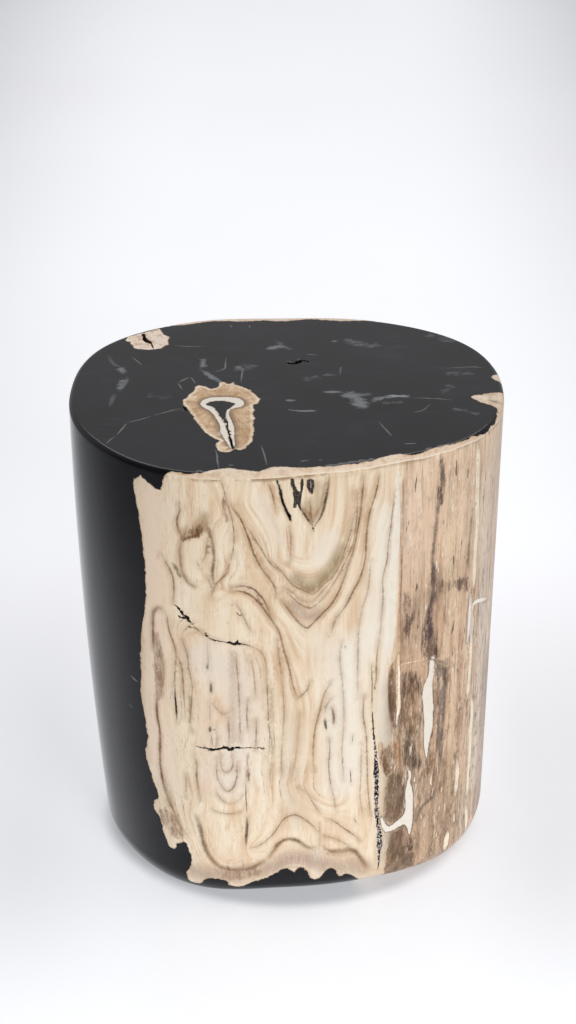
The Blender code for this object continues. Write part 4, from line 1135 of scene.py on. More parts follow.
def hexPoints():
    # evenly spaced points on the seat and the wall, in the chart
    rows = []
    step = meshing["seatStep"]
    reach = 0.24
    for k, y in enumerate(np.arange(-reach, reach, step * meshing["rowShare"])):
        x = np.arange(-reach, reach, step) + (k % 2) * step / 2
        rows.append(np.column_stack([x, np.full(len(x), y)]))
    seat = np.concatenate(rows)
    u, t = placeFrom(seat)
    found = [seat[t < -step * 0.6]]
    rowCount = int((skinRun - arrisRun) / (meshing["wallStep"] * meshing["rowShare"]))
    runs = np.concatenate([np.linspace(0, arrisRun, 4), np.linspace(arrisRun, skinRun, rowCount)[1:]])
    count = int(2 * np.pi * meshing["spread"] / meshing["wallStep"])
    for k, run in enumerate(runs):
        around = (np.arange(count) + (k % 2) / 2) * block["segments"] / count
        found.append(chartFrom(around, np.full(count, run)))
    return np.concatenate(found), found[-1]


def makeRails():
    # all the lines that the mesh has edges along, in the chart
    found = [(chartFrom(*rindFront), False), (chartFrom(*rindBack), False), (chartFrom(*divideLine), False)]
    found += [(chartFrom(*loop), True) for loop in list(knotLoops.values()) + shapeLoops]
    found += [(chartFrom(stroke["u"], stroke["t"]), False) for stroke in strokes]
    for line in hollowLines:
        found.append((chartFrom(line["u"], line["t"]), False))
        for share in (-1.0, -0.55, 0.55, 1.0):
            found.append((chartFrom(*offsetTrace(line, line["half"] * share)), False))
    return found


def triangulate(points, edges):
    # points and faces with every given edge in them, and which of the given points each point was
    made = delaunay_2d_cdt([Vector(p) for p in points], edges, [], 1, meshing["merge"], True)
    return np.array([tuple(p) for p in made[0]]), np.array(made[2], int), made[3]


def edgesOf(faces):
    pairs = np.concatenate([faces[:, [0, 1]], faces[:, [1, 2]], faces[:, [2, 0]]])
    return np.unique(np.sort(pairs, axis=1), axis=0)


def betweenLines(chart, faces):
    # the middles of edges that join two lines across a gap, where a distance would wrongly stay at nothing
    points = spaceFrom(*placeFrom(chart))
    pairs = edgesOf(faces)
    found = []
    for finder in (edgeFinder, knotFinder, divideFinder, inkFinder, shapeFinder):
        on = finder(points)[0] < meshing["onLine"]
        both = pairs[on[pairs[:, 0]] & on[pairs[:, 1]]]
        middles = (chart[both[:, 0]] + chart[both[:, 1]]) / 2
        gaps = finder(spaceFrom(*placeFrom(middles)))[0]
        found.append(middles[gaps > meshing["gap"]])
    return np.concatenate(found)


def makeFlatMesh():
    plain, ring = hexPoints()
    rails = makeRails()
    chains = np.concatenate([chain for chain, closed in rails])
    near = nearestOf(np.column_stack([chains, np.zeros(len(chains))]))
    scale = np.maximum(np.hypot(plain[:, 0], plain[:, 1]) / meshing["spread"], 1)
    away = np.array([near.find((x, y, 0))[2] for x, y in plain])
    onRing = np.arange(len(plain)) >= len(plain) - len(ring)
    plain = plain[(away > meshing["clear"] * scale) | onRing]
    points = [plain[:-len(ring)], ring]
    start = len(plain)
    edges = [(start - len(ring) + k, start - len(ring) + (k + 1) % len(ring)) for k in range(len(ring))]
    for chain, closed in rails:
        points.append(chain)
        count = len(chain)
        edges += [(start + k, start + k + 1) for k in range(count - 1)]
        if closed:
            edges.append((start + count - 1, start))
        start += count
    points = np.concatenate(points)
    for k in range(3):
        chart, faces = triangulate(points, edges)[:2]
        points = np.concatenate([points, betweenLines(chart, faces)])
    return triangulate(points, edges)


chart, faces = makeFlatMesh()[:2]
print("skin laid out:", len(chart), "points,", len(faces), "faces")


def insideFoot(places):
    # the u of places on the floor, and how far in they are from the skin's last ring
    flat = places[:, :2] - heart
    u = uTowards(flat)
    return u, edgeRadius(u, skinRun) - np.hypot(flat[:, 0], flat[:, 1])


def makeBase(ring):
    # the sawn lower end: the skin's last ring, filled level
    step = meshing["baseStep"]
    arc = spaceFrom(*baseArc)[:, :2]
    inner = []
    for k, y in enumerate(np.arange(-0.2, 0.2, step * meshing["rowShare"])):
        for x in np.arange(-0.22, 0.22, step) + (k % 2) * step / 2:
            inner.append((x, y))
    inner = np.array(inner)
    inner = inner[insideFoot(inner)[1] > step * 0.7]
    away = np.min(np.linalg.norm(inner[:, None, :] - arc[None, :, :], axis=2), axis=1)
    inner = inner[away > step * 0.4]
    points = np.concatenate([ring[:, :2], arc, inner])
    count = len(ring)
    edges = [(k, (k + 1) % count) for k in range(count)]
    edges += [(count + k, count + k + 1) for k in range(len(arc) - 1)]
    level, baseFaces, origins = triangulate(points, edges)
    firsts = [min(given) if given else -1 for given in origins]
    return np.column_stack([level, np.full(len(level), low.z)]), baseFaces[:, ::-1], firsts


def withoutChords(faces, ring):
    # the faces without the flat triangles between the ring and its chords, where it isn't convex
    size = faces.max() + 1
    ringEdges = np.sort(np.column_stack([ring, np.roll(ring, -1)]), axis=1) @ (size, 1)
    while True:
        pairs = np.sort(np.stack([faces, np.roll(faces, -1, axis=1)], axis=2), axis=2) @ (size, 1)
        found, back, uses = np.unique(pairs, return_inverse=True, return_counts=True)
        chords = (uses == 1) & ~np.isin(found, ringEdges)
        stray = chords[back.reshape(pairs.shape)].any(axis=1) & np.isin(faces, ring).all(axis=1)
        if not stray.any():
            return faces
        faces = faces[~stray]


def joinBase(points, u, t, faces):
    # the block's whole skin, with its base sewn to its last ring
    last = np.nonzero(t > skinRun - 2e-6)[0]
    last = last[np.argsort(u[last])]
    basePoints, baseFaces, firsts = makeBase(points[last])
    places = np.zeros(len(basePoints), int)
    fresh = []
    for k, first in enumerate(firsts):
        if 0 <= first < len(last):
            places[k] = last[first]
        else:
            places[k] = len(points) + len(fresh)
            fresh.append(k)
    added = basePoints[fresh]
    addedU, inset = insideFoot(added)
    points = np.concatenate([points, added])
    u = np.concatenate([u, addedU])
    t = np.concatenate([t, skinRun + inset])
    faces = np.concatenate([withoutChords(faces, last), withoutChords(places[baseFaces], last)])
    return points, u, t, faces


u, t = placeFrom(chart)
t = np.minimum(t, skinRun)
points, u, t, faces = joinBase(spaceFrom(u, t), u, t, faces)
chart = chartFrom(u, t)
normals = skinNormals(u, t)
print("block closed:", len(points), "points,", len(faces), "faces")


def joined(items, name):
    return np.concatenate([item[name] for item in items])


def hollowDepth():
    # how deep every point is pushed in: a broken trench along each hollow's middle line
    away, nearest = hollowFinder(points)
    half = joined(hollowLines, "half")[nearest]
    return joined(hollowLines, "depth")[nearest] * np.clip((half - away) / (0.45 * half), 0, 1)


# Where the brown stone ends on the back: a bearing in degrees, with waves down the wall.
backBorder = {
    "bearing": 50,
    "waves": ((3.5, 13, 0), (1.6, 41, 1), (0.5, 150, 0)),       # size, pace and start
    "sharpness": 1.6,
    "from": 10,             # nearer to the front than this bearing, the front's line counts
}


def stoneSides():
    # millimetres into the black stone (less than nothing in the rind), and into the brown stretch
    pale = insideLoop(chart, rindLoop)
    for loop in knotLoops.values():
        pale ^= insideLoop(chart, loop)
    away = np.minimum(edgeFinder(points)[0], knotFinder(points)[0]) * 1000
    black = np.clip(np.where(pale, -away, away), -10, 10)
    fromDivide = np.clip(divideFinder(points)[0] * 1000, 0, 10)
    inBrown = insideLoop(chart, brownLoop)
    edge = backBorder["bearing"]
    for size, pace, start in backBorder["waves"]:
        edge = edge + size * np.sin(t * pace + start)
    fade = np.clip((edge - bearingOf(u)) * backBorder["sharpness"], -10, 10)
    brown = np.where(inBrown, fromDivide, -fromDivide)
    atBack = bearingOf(u) > backBorder["from"]
    brown[atBack] = fade[atBack]
    return black, brown


def inkFields():
    away, nearest = inkFinder(points)
    half, soft, halo = [joined(strokes, name)[nearest] for name in ("half", "soft", "halo")]
    counts = [len(stroke["u"]) for stroke in strokes]
    color = np.repeat([stroke["color"] for stroke in strokes], counts, axis=0)
    color = np.column_stack([color, joined(strokes, "strength")])[nearest]
    return np.clip(away * 1000, 0, 20), half, soft, halo, color, nearest


def shapeFields():
    # millimetres into the nearest patch, less than nothing outside it, with that patch's look
    away, nearest = shapeFinder(points)
    inside = np.zeros(len(points), bool)
    for loop in shapeLoops:
        inside |= insideLoop(chart, loop)
    looks = []
    for loop, (name, strength, soft, dark, pixels) in zip(shapeLoops, shapes.values()):
        looks.append(np.tile([*toLinear(palette[name]), strength, soft, dark], (len(loop[0]), 1)))
    looks = np.concatenate(looks)[nearest]
    return np.clip(np.where(inside, away, -away) * 1000, -12, 12), looks[:, :4], looks[:, 4], looks[:, 5]


def lineDistance(line, reach):
    # each point's distance from a short line, in metres, and far where it is out of reach
    least, most = line.min(axis=0) - reach, line.max(axis=0) + reach
    rows = np.nonzero(np.all((points > least) & (points < most), axis=1))[0]
    best = np.full(len(rows), 1e9)
    for start, end in zip(line, line[1:]):
        along = end - start
        part = np.clip((points[rows] - start) @ along / max(along @ along, 1e-12), 0, 1)[:, None]
        best = np.minimum(best, np.linalg.norm(points[rows] - start - along * part, axis=1))
    return rows, best


def softEdge(away, reach):
    # 1 on a line, easing to 0 at its reach in millimetres
    edge = np.clip(1 - away * 1000 / reach, 0, 1)
    return edge * edge * (3 - 2 * edge)


def underPixels(marks):
    return [(*mark[:3], onSkin(smoothLine(mark[3], 4))) for mark in marks.values()]


def alongBearings(marks):
    return [(*mark[:3], spaceFrom(*traceBearings(mark[3], 0.006))) for mark in marks.values()]


def layTints(marks):
    # soft patches of colour laid over each other, with how much each point takes
    color = np.zeros((len(points), 3))
    cover = np.zeros(len(points))
    for name, reach, strength, line in marks:
        rows, away = lineDistance(line, reach / 1000)
        share = strength * softEdge(away, reach)
        color[rows] = color[rows] * (1 - share)[:, None] + toLinear(palette[name]) * share[:, None]
        cover[rows] = cover[rows] * (1 - share) + share
    return np.column_stack([color / np.maximum(cover, 1e-6)[:, None], cover])


# The grain's run on the front: the same level all along each of these lines, so fine grain follows them.
grainLevels = {
    "longRight": 7, "kneeFold": 7.2, "knotRight": 8.5, "knotLeft": 8.5, "insideKnot": 10.5, "cheek": 8.2,
    "leftOfKnot": 7.6, "shoulderUpper": 5.5, "shoulderLower": 5.0, "archUpper": 6.4, "archLower": 7.2,
    "bigBowl": 4.5, "bigBowlOuter": 5.5, "innerBowl": 3.0, "middleBowl": 3.6, "bowlRight": 7.2,
    "bowlRightInner": 6.3, "vLeft": 0, "vRight": 0, "leftHoop": 7.4, "leftHoopRight": 7.4, "ribA": 9,
    "ribC": 9, "ribJ": 10.6, "ribH": 8.4, "dotsA": 10, "dotsC": 10, "hoopA": 11.6, "hoopB": 11,
    "hoopC": 11.2, "ribL": 8.2, "ribM": 7.2, "ribN": 6.2, "eyeOuter": 5.4, "eyeInner": 5.0,
    "lensEdge": 7.2, "basin": 9.6, "ribLower": 9.4, "waveUpper": 8.4, "waveLeft": 8.8,
    "waveUpperRight": 7.6, "waveRight": 8.2, "backRib": 6.8, "stemWave": 7.8, "dashE": 10.4,
}

grainFit = {
    "stiffness": 0.2,
    "rindLevel": 6.0,
    "divideLevel": 8.6,
    "bearings": (215, 320),     # the front, where the levels hold
    "top": -0.02,
    "step": 0.002,              # metres, for reading how steep the grain is
    "steepness": (30, 45),      # where rings begin to show, and over how much more they come in
    "calm": 0.9,
}


def fitGrain():
    # a thin plate bent through the levels, over the front wall unrolled, in centimetres
    places, levels = [], []
    for style in grainLines.values():
        for name, pixels in style["lines"].items():
            if name in grainLevels:
                lineU, lineT = tracePixels(pixels, step=11)
                places.append(np.column_stack([turnOf(lineU) * meshing["spread"], lineT]) * 100)
                levels.append(np.full(len(lineU), float(grainLevels[name])))
    for trace, level in ((rindFront, grainFit["rindLevel"]), (divideLine, grainFit["divideLevel"])):
        pick = trace[1] > 0.03
        lineU, lineT = trace[0][pick][::14], trace[1][pick][::14]
        places.append(np.column_stack([turnOf(lineU) * meshing["spread"], lineT]) * 100)
        levels.append(np.full(len(lineU), level))
    places = np.concatenate(places)
    levels = np.concatenate(levels)

    def bending(first, second):
        away = np.linalg.norm(first[:, None, :] - second[None, :, :], axis=2)
        return away ** 2 * np.log(np.maximum(away, 1e-9))

    count = len(places)
    flat = np.column_stack([np.ones(count), places])
    system = np.zeros((count + 3, count + 3))
    system[:count, :count] = bending(places, places) + np.eye(count) * grainFit["stiffness"]
    system[:count, count:] = flat
    system[count:, :count] = flat.T
    weights = np.linalg.solve(system, np.concatenate([levels, np.zeros(3)]))

    def level(someU, someT):
        spots = np.column_stack([turnOf(someU) * meshing["spread"], someT]) * 100
        found = [bending(part, places) @ weights[:count] + weights[count] + part @ weights[count + 1:]
                 for part in np.array_split(spots, max(len(spots) // 3000, 1))]
        return np.concatenate(found)

    return level


def evened(values, rows, rounds=8):
    # the values at these points, drawn towards their neighbours' a few times
    pairs = edgesOf(faces)
    count = np.bincount(pairs.ravel(), minlength=len(points))
    for k in range(rounds):
        total = np.bincount(pairs[:, 0], values[pairs[:, 1]], len(points))
        total += np.bincount(pairs[:, 1], values[pairs[:, 0]], len(points))
        values = np.where(rows, total / np.maximum(count, 1), values)
    return values


def grainFlow(inkAway, nearest):
    # the grain's level at every point, how steep it is there, and which side of the nearest line is inward
    level = fitGrain()
    bearing = u * 360 / block["segments"]
    first, last = grainFit["bearings"]
    rows = np.nonzero((bearing > first) & (bearing < last) & (t > grainFit["top"]))[0]
    flow = backLevel(u, t)
    flow[rows] = level(u[rows], t[rows])
    step = grainFit["step"]
    turn = step / meshing["spread"] * block["segments"] / (2 * np.pi)
    acrossSlope = (level(u[rows] + turn, t[rows]) - flow[rows]) / step
    downSlope = (level(u[rows], t[rows] + step) - flow[rows]) / step
    steep = np.ones(len(points))
    least, more = grainFit["steepness"]
    steep[rows] = np.clip((np.hypot(acrossSlope, downSlope) - least) / more, 0, 1)
    for reach, pixels in calmPlaces.values():
        near, away = lineDistance(onSkin(smoothLine(pixels, 4)), reach / 1000)
        steep[near] *= 1 - grainFit["calm"] * softEdge(away, reach)
    lineLevel = level(joined(strokes, "u"), joined(strokes, "t"))
    side = np.zeros(len(points))
    side[rows] = np.clip((lineLevel[nearest[rows]] - flow[rows]) / 0.12, -1, 1)
    return flow, steep, evened(side, inkAway > 1.1)


def addField(mesh, name, values):
    if values.ndim == 1:
        layer = mesh.attributes.new(name, "FLOAT", "POINT")
        layer.data.foreach_set("value", values.astype(np.float32))
    else:
        layer = mesh.attributes.new(name, "FLOAT_COLOR", "POINT")
        layer.data.foreach_set("color", values.astype(np.float32).ravel())


def makeBody():
    depth = hollowDepth()
    black, brown = stoneSides()
    inkAway, inkHalf, inkSoft, inkHalo, inkColor, nearest = inkFields()
    shapeAway, shapeColor, shapeSoft, shapeDark = shapeFields()
    flow, steep, side = grainFlow(inkAway, nearest)
    inKnot = np.zeros(len(points))
    for name in ("centreKnot", "leftKnot"):
        inKnot[insideLoop(chart, knotLoops[name])] = 1
    inKnot[knotFinder(points)[0] < meshing["onLine"]] = 1
    placed = points - normals * depth[:, None]
    placed = np.clip(placed, np.array(low), np.array(high))
    mesh = bpy.data.meshes.new("petrified_stone")
    mesh.from_pydata(placed.tolist(), [], faces.tolist())
    mesh.update()
    fields = {"black": black, "brown": brown, "inkAway": inkAway, "inkHalf": inkHalf, "inkSoft": inkSoft,
              "inkHalo": inkHalo, "inkSide": side, "inkColor": inkColor, "shapeAway": shapeAway,
              "shapeSoft": shapeSoft, "shapeDark": shapeDark, "shapeColor": shapeColor, "inKnot": inKnot,
              "tint": layTints(underPixels(tints) + alongBearings(backTints)),
              "cloud": layTints(underPixels(clouds)), "flow": flow, "steep": steep,
              "run": np.clip(t * 1000, -60, 500), "hollow": depth * 1000}
    for name, values in fields.items():
        addField(mesh, name, values)
    mesh.shade_smooth()
    computed = np.zeros(len(placed) * 3)
    mesh.vertex_normals.foreach_get("vector", computed)
    shown = np.where((depth > 1e-5)[:, None], computed.reshape(-1, 3), normals)
    mesh.normals_split_custom_set_from_vertices(shown.tolist())
    return addObject("petrified_stone", mesh)


stone = makeBody()
print("block shaped and marked")

# Small helpers that make a material's nodes


def addNode(tree, kind, inputs=(), **settings):
    node = tree.nodes.new(kind)
    for name, value in settings.items():
        setattr(node, name, value)
    for key, value in dict(inputs).items():
        if isinstance(value, bpy.types.NodeSocket):
            tree.links.new(value, node.inputs[key])
        else:
            node.inputs[key].default_value = value
    return node


def newMaterial(name):
    # a material with its tree, its surface and the place on the object that its noises are read at
    material = bpy.data.materials.new(name)
    material.use_nodes = True
    tree = material.node_tree
    place = addNode(tree, "ShaderNodeTexCoord").outputs["Object"]
    return material, tree, tree.nodes["Principled BSDF"], place


def field(tree, name, output="Fac"):
    return addNode(tree, "ShaderNodeAttribute", attribute_name=name).outputs[output]


def calc(tree, operation, first, second=0.0, third=0.0):
    node = addNode(tree, "ShaderNodeMath", {0: first, 1: second, 2: third}, operation=operation)
    return node.outputs[0]


def between(tree, value, start, end, first=0.0, second=1.0):
    # first up to start, easing to second at end
    node = addNode(tree, "ShaderNodeMapRange", {0: value, 1: start, 2: end, 3: first, 4: second},
                   interpolation_type="SMOOTHSTEP")
    return node.outputs[0]


def blendColors(tree, share, first, second, kind="MIX"):
    node = addNode(tree, "ShaderNodeMix", {0: share, 6: first, 7: second}, data_type="RGBA", blend_type=kind)
    return node.outputs[2]


def blendValues(tree, share, first, second):
    return addNode(tree, "ShaderNodeMix", {0: share, 2: first, 3: second}, data_type="FLOAT").outputs[0]


def axis(tree, place, number):
    return addNode(tree, "ShaderNodeSeparateXYZ", {0: place}).outputs[number]


def stretched(tree, place, scale):
    return addNode(tree, "ShaderNodeVectorMath", {0: place, 1: scale}, operation="MULTIPLY").outputs[0]


def noise(tree, place, scale, detail=3.0, roughness=0.55, stretch=()):
    if stretch:
        place = stretched(tree, place, stretch)
    node = addNode(tree, "ShaderNodeTexNoise", {
        "Vector": place, "Scale": scale, "Detail": detail, "Roughness": roughness})
    return node.outputs[0]


def ramp(tree, value, stops):
    node = addNode(tree, "ShaderNodeValToRGB", {0: value})
    elements = node.color_ramp.elements
    elements.remove(elements[1])
    for k, (place, color) in enumerate(stops):
        element = elements[0] if k == 0 else elements.new(place)
        element.position = place
        element.color = (*toLinear(color), 1.0)
    return node.outputs[0]


def multiply(tree, *values):
    found = values[0]
    for value in values[1:]:
        found = calc(tree, "MULTIPLY", found, value)
    return found


def ink(color):
    return (*toLinear(color), 1.0)


creamStone = {
    "tones": ((0.3, (228, 199, 167)), (0.45, (240, 219, 191)), (0.6, (247, 232, 208)),
        (0.75, (241, 213, 188))),
    "bandTones": ((0.3, (198, 158, 116)), (0.4, (226, 194, 158)), (0.52, (243, 225, 197)),
        (0.7, (251, 240, 220))),
    "bandShare": 0.6,
    "ringsPerLevel": 1.5,
    "ringTan": (196, 156, 118),
    "ringShade": 0.5,
    "ringEdge": (98, 72, 50),
    "haloColor": (156, 110, 60),
    "rimColor": (238, 216, 194),
    "fiberShade": (206, 178, 148),
    "fiberGlow": (252, 243, 230),
    "hairShade": (206, 172, 134),
    "hairGlow": (252, 245, 234),
    "poreColor": (122, 92, 64),
    "rimMottle": (206, 168, 130),
    "rimUnder": (146, 108, 66),
    # colour of the painted highlight, the bright line along the seat's edge
    "rimHighlight": (252, 243, 226),
    "blackEdge": (176, 136, 98),
    "roughness": 0.32,
    "index": 1.3,
}
brownStone = {
    "tones": ((0.28, (104, 80, 66)), (0.38, (170, 134, 108)), (0.47, (214, 178, 146)),
        (0.58, (234, 206, 176)),
              (0.73, (246, 232, 212))),
    "threadColor": (92, 70, 60),
    "fleckColor": (244, 230, 210),
    "dashColor": (74, 54, 46),
    "mottleColor": (116, 92, 66),
    "upperGlow": (250, 224, 196),
}
patchLook = {
    "lipColor": (88, 66, 52),
    "stainColor": (222, 196, 168),
    "fiberColor": (66, 48, 36),
    # painted shade: the near-black laid into the depths of cracks and voids
    "hollowShadeColor": (8, 4, 4),
}
knotStone = {
    "tones": ((0.36, (132, 94, 60)), (0.44, (186, 144, 100)), (0.52, (216, 182, 142)),
        (0.62, (244, 222, 192))),
    "deepColor": (136, 100, 66),
    "edgeColor": (248, 228, 202),
    "leftColor": (254, 240, 228),
    "spotColor": (196, 152, 108),
    "centres": ((-0.0585, -0.0300, 0.0), (-0.1320, 0.1120, 0.0)),
}
blackStone = {
    "tones": ((0.3, (13, 13, 16)), (0.6, (23, 23, 27)), (0.8, (38, 38, 43))),
    "streakColor": (76, 78, 84),
    "roughness": 0.07,
}


# The stone's noises: scale, detail, roughness, and how each is stretched along x, y and z
noises = {
    "creamTone": (11.0, 4.0), "creamUpright": (1.0, 5.0, 0.62, (80.0, 80.0, 9.0)), "ringSway": (18.0, 4.0),
    "ringPatch": (24.0, 3.0), "ringGrit": (430.0, 3.0, 0.6, (1.0, 1.0, 0.4)), "ringBreaks": (13.0, 3.0),
    "hairs": (1.0, 4.0, 0.7, (520.0, 520.0, 26.0)), "pores": (480.0, 3.0, 0.6, (1.0, 1.0, 0.35)),
    "brownStreaks": (1.0, 6.0, 0.68, (95.0, 95.0, 4.0)), "brownPatch": (1.0, 4.0, 0.6, (34.0, 34.0, 12.0)),
    "threadPatch": (42.0, 3.0, 0.6, (1.0, 1.0, 0.4)), "threads": (1.0, 5.0, 0.75, (400.0, 400.0, 14.0)),
    "mottle": (150.0, 8.0, 0.82, (1.0, 1.0, 0.4)), "flecks": (300.0, 2.0, 0.5, (1.0, 1.0, 0.16)),
    "knotFibres": (13.0, 6.0, 0.75), "knotClumps": (95.0, 4.0, 0.6), "knotSway": (60.0, 3.0),
    "knotMeal": (150.0, 4.0, 0.7), "knotSpots": (120.0, 4.0, 0.7), "blackTone": (16.0, 5.0, 0.65),
    "blackDrift": (1.0, 5.0, 0.7, (16.0, 90.0, 40.0)), "fiberPatch": (38.0, 4.0, 0.65),
    "fibers": (760.0, 4.0, 0.78, (1.0, 1.0, 0.16)), "rimWaver": (34.0, 4.0), "rimBreaks": (60.0, 3.0),
    "rimMottle": (120.0, 4.0, 0.65), "wobble": (900.0, 2.0), "jag": (260.0, 3.0),
    "grit": (520.0, 3.0, 0.65), "streaks": (260.0, 6.0, 0.8, (1.0, 1.0, 0.2)),
    "tintPatch": (160.0, 4.0, 0.65, (1.0, 1.0, 0.35)), "haloPatch": (70.0, 4.0, 0.6),
    "speckles": (130.0, 7.0, 0.8, (1.0, 1.0, 0.35)), "stain": (170.0, 5.0, 0.7, (1.0, 1.0, 0.5)),
    "blots": (190.0, 4.0, 0.7), "cloudEdge": (150.0, 6.0, 0.72, (0.7, 1.2, 1.0)),
    "chips": (140.0, 4.0, 0.7), "smear": (30.0, 4.0), "relief": (4.0, 4.0, 0.55, (60.0, 60.0, 20.0)),
}


def grained(tree, place, name):
    return noise(tree, place, *noises[name])


def along(tree, flow, height, across, length):
    # a place for noise that runs along the grain
    crossing = multiply(tree, flow, across)
    running = multiply(tree, height, length)
    return addNode(tree, "ShaderNodeCombineXYZ", {0: crossing, 1: running}).outputs[0]


def creamColor(tree, place, flow, steep):
    # the rind's cream: bands, growth rings and fine hairs that all follow the grain
    look = creamStone
    height = axis(tree, place, 2)
    color = ramp(tree, grained(tree, place, "creamTone"), look["tones"])
    bands = noise(tree, along(tree, flow, height, 1.3, 9.0), 1.0, 5.0, 0.62)
    plain = grained(tree, place, "creamUpright")
    bands = blendValues(tree, steep, plain, bands)
    color = blendColors(tree, look["bandShare"], color, ramp(tree, bands, look["bandTones"]))
    sway = multiply(tree, grained(tree, place, "ringSway"), 1.5)
    phase = calc(tree, "FRACT", calc(tree, "MULTIPLY_ADD", flow, look["ringsPerLevel"], sway))
    patch = multiply(tree, between(tree, grained(tree, place, "ringPatch"), 0.38, 0.62), steep)
    shade = multiply(tree, calc(tree, "POWER", phase, 2.2), patch)
    shade = multiply(tree, shade, between(tree, phase, 0.93, 1.0, 1.0, 0.0))
    color = blendColors(tree, multiply(tree, shade, look["ringShade"]), color, ink(look["ringTan"]))
    grit = grained(tree, place, "ringGrit")
    edge = multiply(tree, between(tree, phase, 0.86, 0.94), between(tree, phase, 0.95, 0.99, 1.0, 0.0))
    edge = multiply(tree, multiply(tree, edge, between(tree, grit, 0.46, 0.6)), patch)
    edge = multiply(tree, edge, between(tree, grained(tree, place, "ringBreaks"), 0.46, 0.6))
    color = blendColors(tree, multiply(tree, edge, 0.8), color, ink(look["ringEdge"]))
    hairs = noise(tree, along(tree, flow, height, 8.0, 34.0), 1.0, 5.0, 0.72)
    upright = grained(tree, place, "hairs")
    hairs = blendValues(tree, calc(tree, "MULTIPLY_ADD", steep, 0.6, 0.1), upright, hairs)
    color = blendColors(tree, between(tree, hairs, 0.52, 0.72, 0.0, 0.5), color, ink(look["hairShade"]))
    color = blendColors(tree, between(tree, hairs, 0.3, 0.46, 0.5, 0.0), color, ink(look["hairGlow"]))
    pores = grained(tree, place, "pores")
    return blendColors(tree, between(tree, pores, 0.69, 0.75, 0.0, 0.45), color, ink(look["poreColor"]))


def brownColor(tree, place, tint, tintShare, streaky):
    look = brownStone
    broad = grained(tree, place, "brownStreaks")
    patch = grained(tree, place, "brownPatch")
    value = calc(tree, "ADD", multiply(tree, broad, 0.55), multiply(tree, patch, 0.45))
    color = ramp(tree, value, look["tones"])
    patchy = multiply(tree, tintShare, between(tree, streaky, 0.4, 0.58, 0.35, 1.15))
    color = blendColors(tree, patchy, color, tint)
    lively = grained(tree, place, "threadPatch")
    free = calc(tree, "MULTIPLY_ADD", patchy, -0.45, 1.0)
    lively = multiply(tree, between(tree, lively, 0.36, 0.62, 0.35, 1.0), free)
    thin = grained(tree, place, "threads")
    threads = multiply(tree, between(tree, thin, 0.51, 0.65, 0.0, 0.9), lively)
    color = blendColors(tree, threads, color, ink(look["threadColor"]))
    pale = multiply(tree, between(tree, thin, 0.3, 0.45, 0.6, 0.0), lively)
    color = blendColors(tree, pale, color, ink(look["fleckColor"]))
    mottle = grained(tree, place, "mottle")
    height = axis(tree, place, 2)
    share = between(tree, height, 0.14, 0.34, 0.8, 0.25)
    mottled = multiply(tree, between(tree, mottle, 0.5, 0.62), share)
    color = blendColors(tree, between(tree, height, 0.28, 0.4, 0.0, 0.36), color, ink(look["upperGlow"]))
    color = blendColors(tree, mottled, color, ink(look["mottleColor"]))
    flecks = grained(tree, place, "flecks")
    color = blendColors(tree, between(tree, flecks, 0.28, 0.33, 0.8, 0.0), color, ink(look["dashColor"]))
    return blendColors(tree, between(tree, flecks, 0.66, 0.7, 0.0, 0.8), color, ink(look["fleckColor"]))


def knotColor(tree, place, shapeAway):
    # the rind in the seat's knots: fibres that run out from each knot's middle
    look = knotStone
    across = axis(tree, place, 0)
    atLeft = calc(tree, "LESS_THAN", across, -0.09)
    centre = addNode(tree, "ShaderNodeMix", {0: atLeft, 4: look["centres"][0], 5: look["centres"][1]},
                     data_type="VECTOR").outputs[1]
    arm = addNode(tree, "ShaderNodeVectorMath", {0: place, 1: centre}, operation="SUBTRACT").outputs[0]
    arm = stretched(tree, arm, (1.0, 1.0, 0.0))
    heading = addNode(tree, "ShaderNodeVectorMath", {0: arm}, operation="NORMALIZE").outputs[0]
    fibres = grained(tree, heading, "knotFibres")
    clumps = grained(tree, place, "knotClumps")
    fromEdge = field(tree, "black")
    sway = multiply(tree, grained(tree, place, "knotSway"), 5.0)
    ring = calc(tree, "MULTIPLY_ADD", fromEdge, 0.55, sway)
    rings = noise(tree, addNode(tree, "ShaderNodeCombineXYZ", {0: ring}).outputs[0], 1.5, 4.0, 0.6)
    value = calc(tree, "MULTIPLY_ADD", fibres, 0.32, multiply(tree, clumps, 0.3))
    value = calc(tree, "MULTIPLY_ADD", rings, 0.38, value)
    color = ramp(tree, calc(tree, "MULTIPLY_ADD", atLeft, 0.06, value), look["tones"])
    near = between(tree, shapeAway, -6.5, -0.5, 0.0, 0.85)
    near = multiply(tree, near, calc(tree, "SUBTRACT", 1.0, atLeft))
    color = blendColors(tree, near, color, ink(look["deepColor"]))
    edge = multiply(tree, between(tree, fromEdge, -4.2, -1.4), between(tree, clumps, 0.4, 0.55, 0.45, 0.9))
    color = blendColors(tree, edge, color, ink(look["edgeColor"]))
    mealy = between(tree, grained(tree, place, "knotMeal"), 0.4, 0.58, 0.35, 1.0)
    pallor = multiply(tree, atLeft, mealy, 0.75)
    color = blendColors(tree, pallor, color, ink(look["leftColor"]))
    spots = between(tree, grained(tree, place, "knotSpots"), 0.53, 0.6, 0.0, 0.75)
    color = blendColors(tree, multiply(tree, spots, atLeft), color, ink(look["spotColor"]))
    return blendColors(tree, between(tree, clumps, 0.58, 0.68, 0.0, 0.6), color, ink(look["edgeColor"]))


def blackColor(tree, place):
    look = blackStone
    color = ramp(tree, grained(tree, place, "blackTone"), look["tones"])
    height = axis(tree, place, 2)
    onSeat = between(tree, height, seatHeight - 0.001, seatHeight - 0.0005)
    drift = grained(tree, place, "blackDrift")
    drift = multiply(tree, between(tree, drift, 0.56, 0.74, 0.0, 0.3), onSeat)
    return blendColors(tree, drift, color, ink(look["streakColor"]))


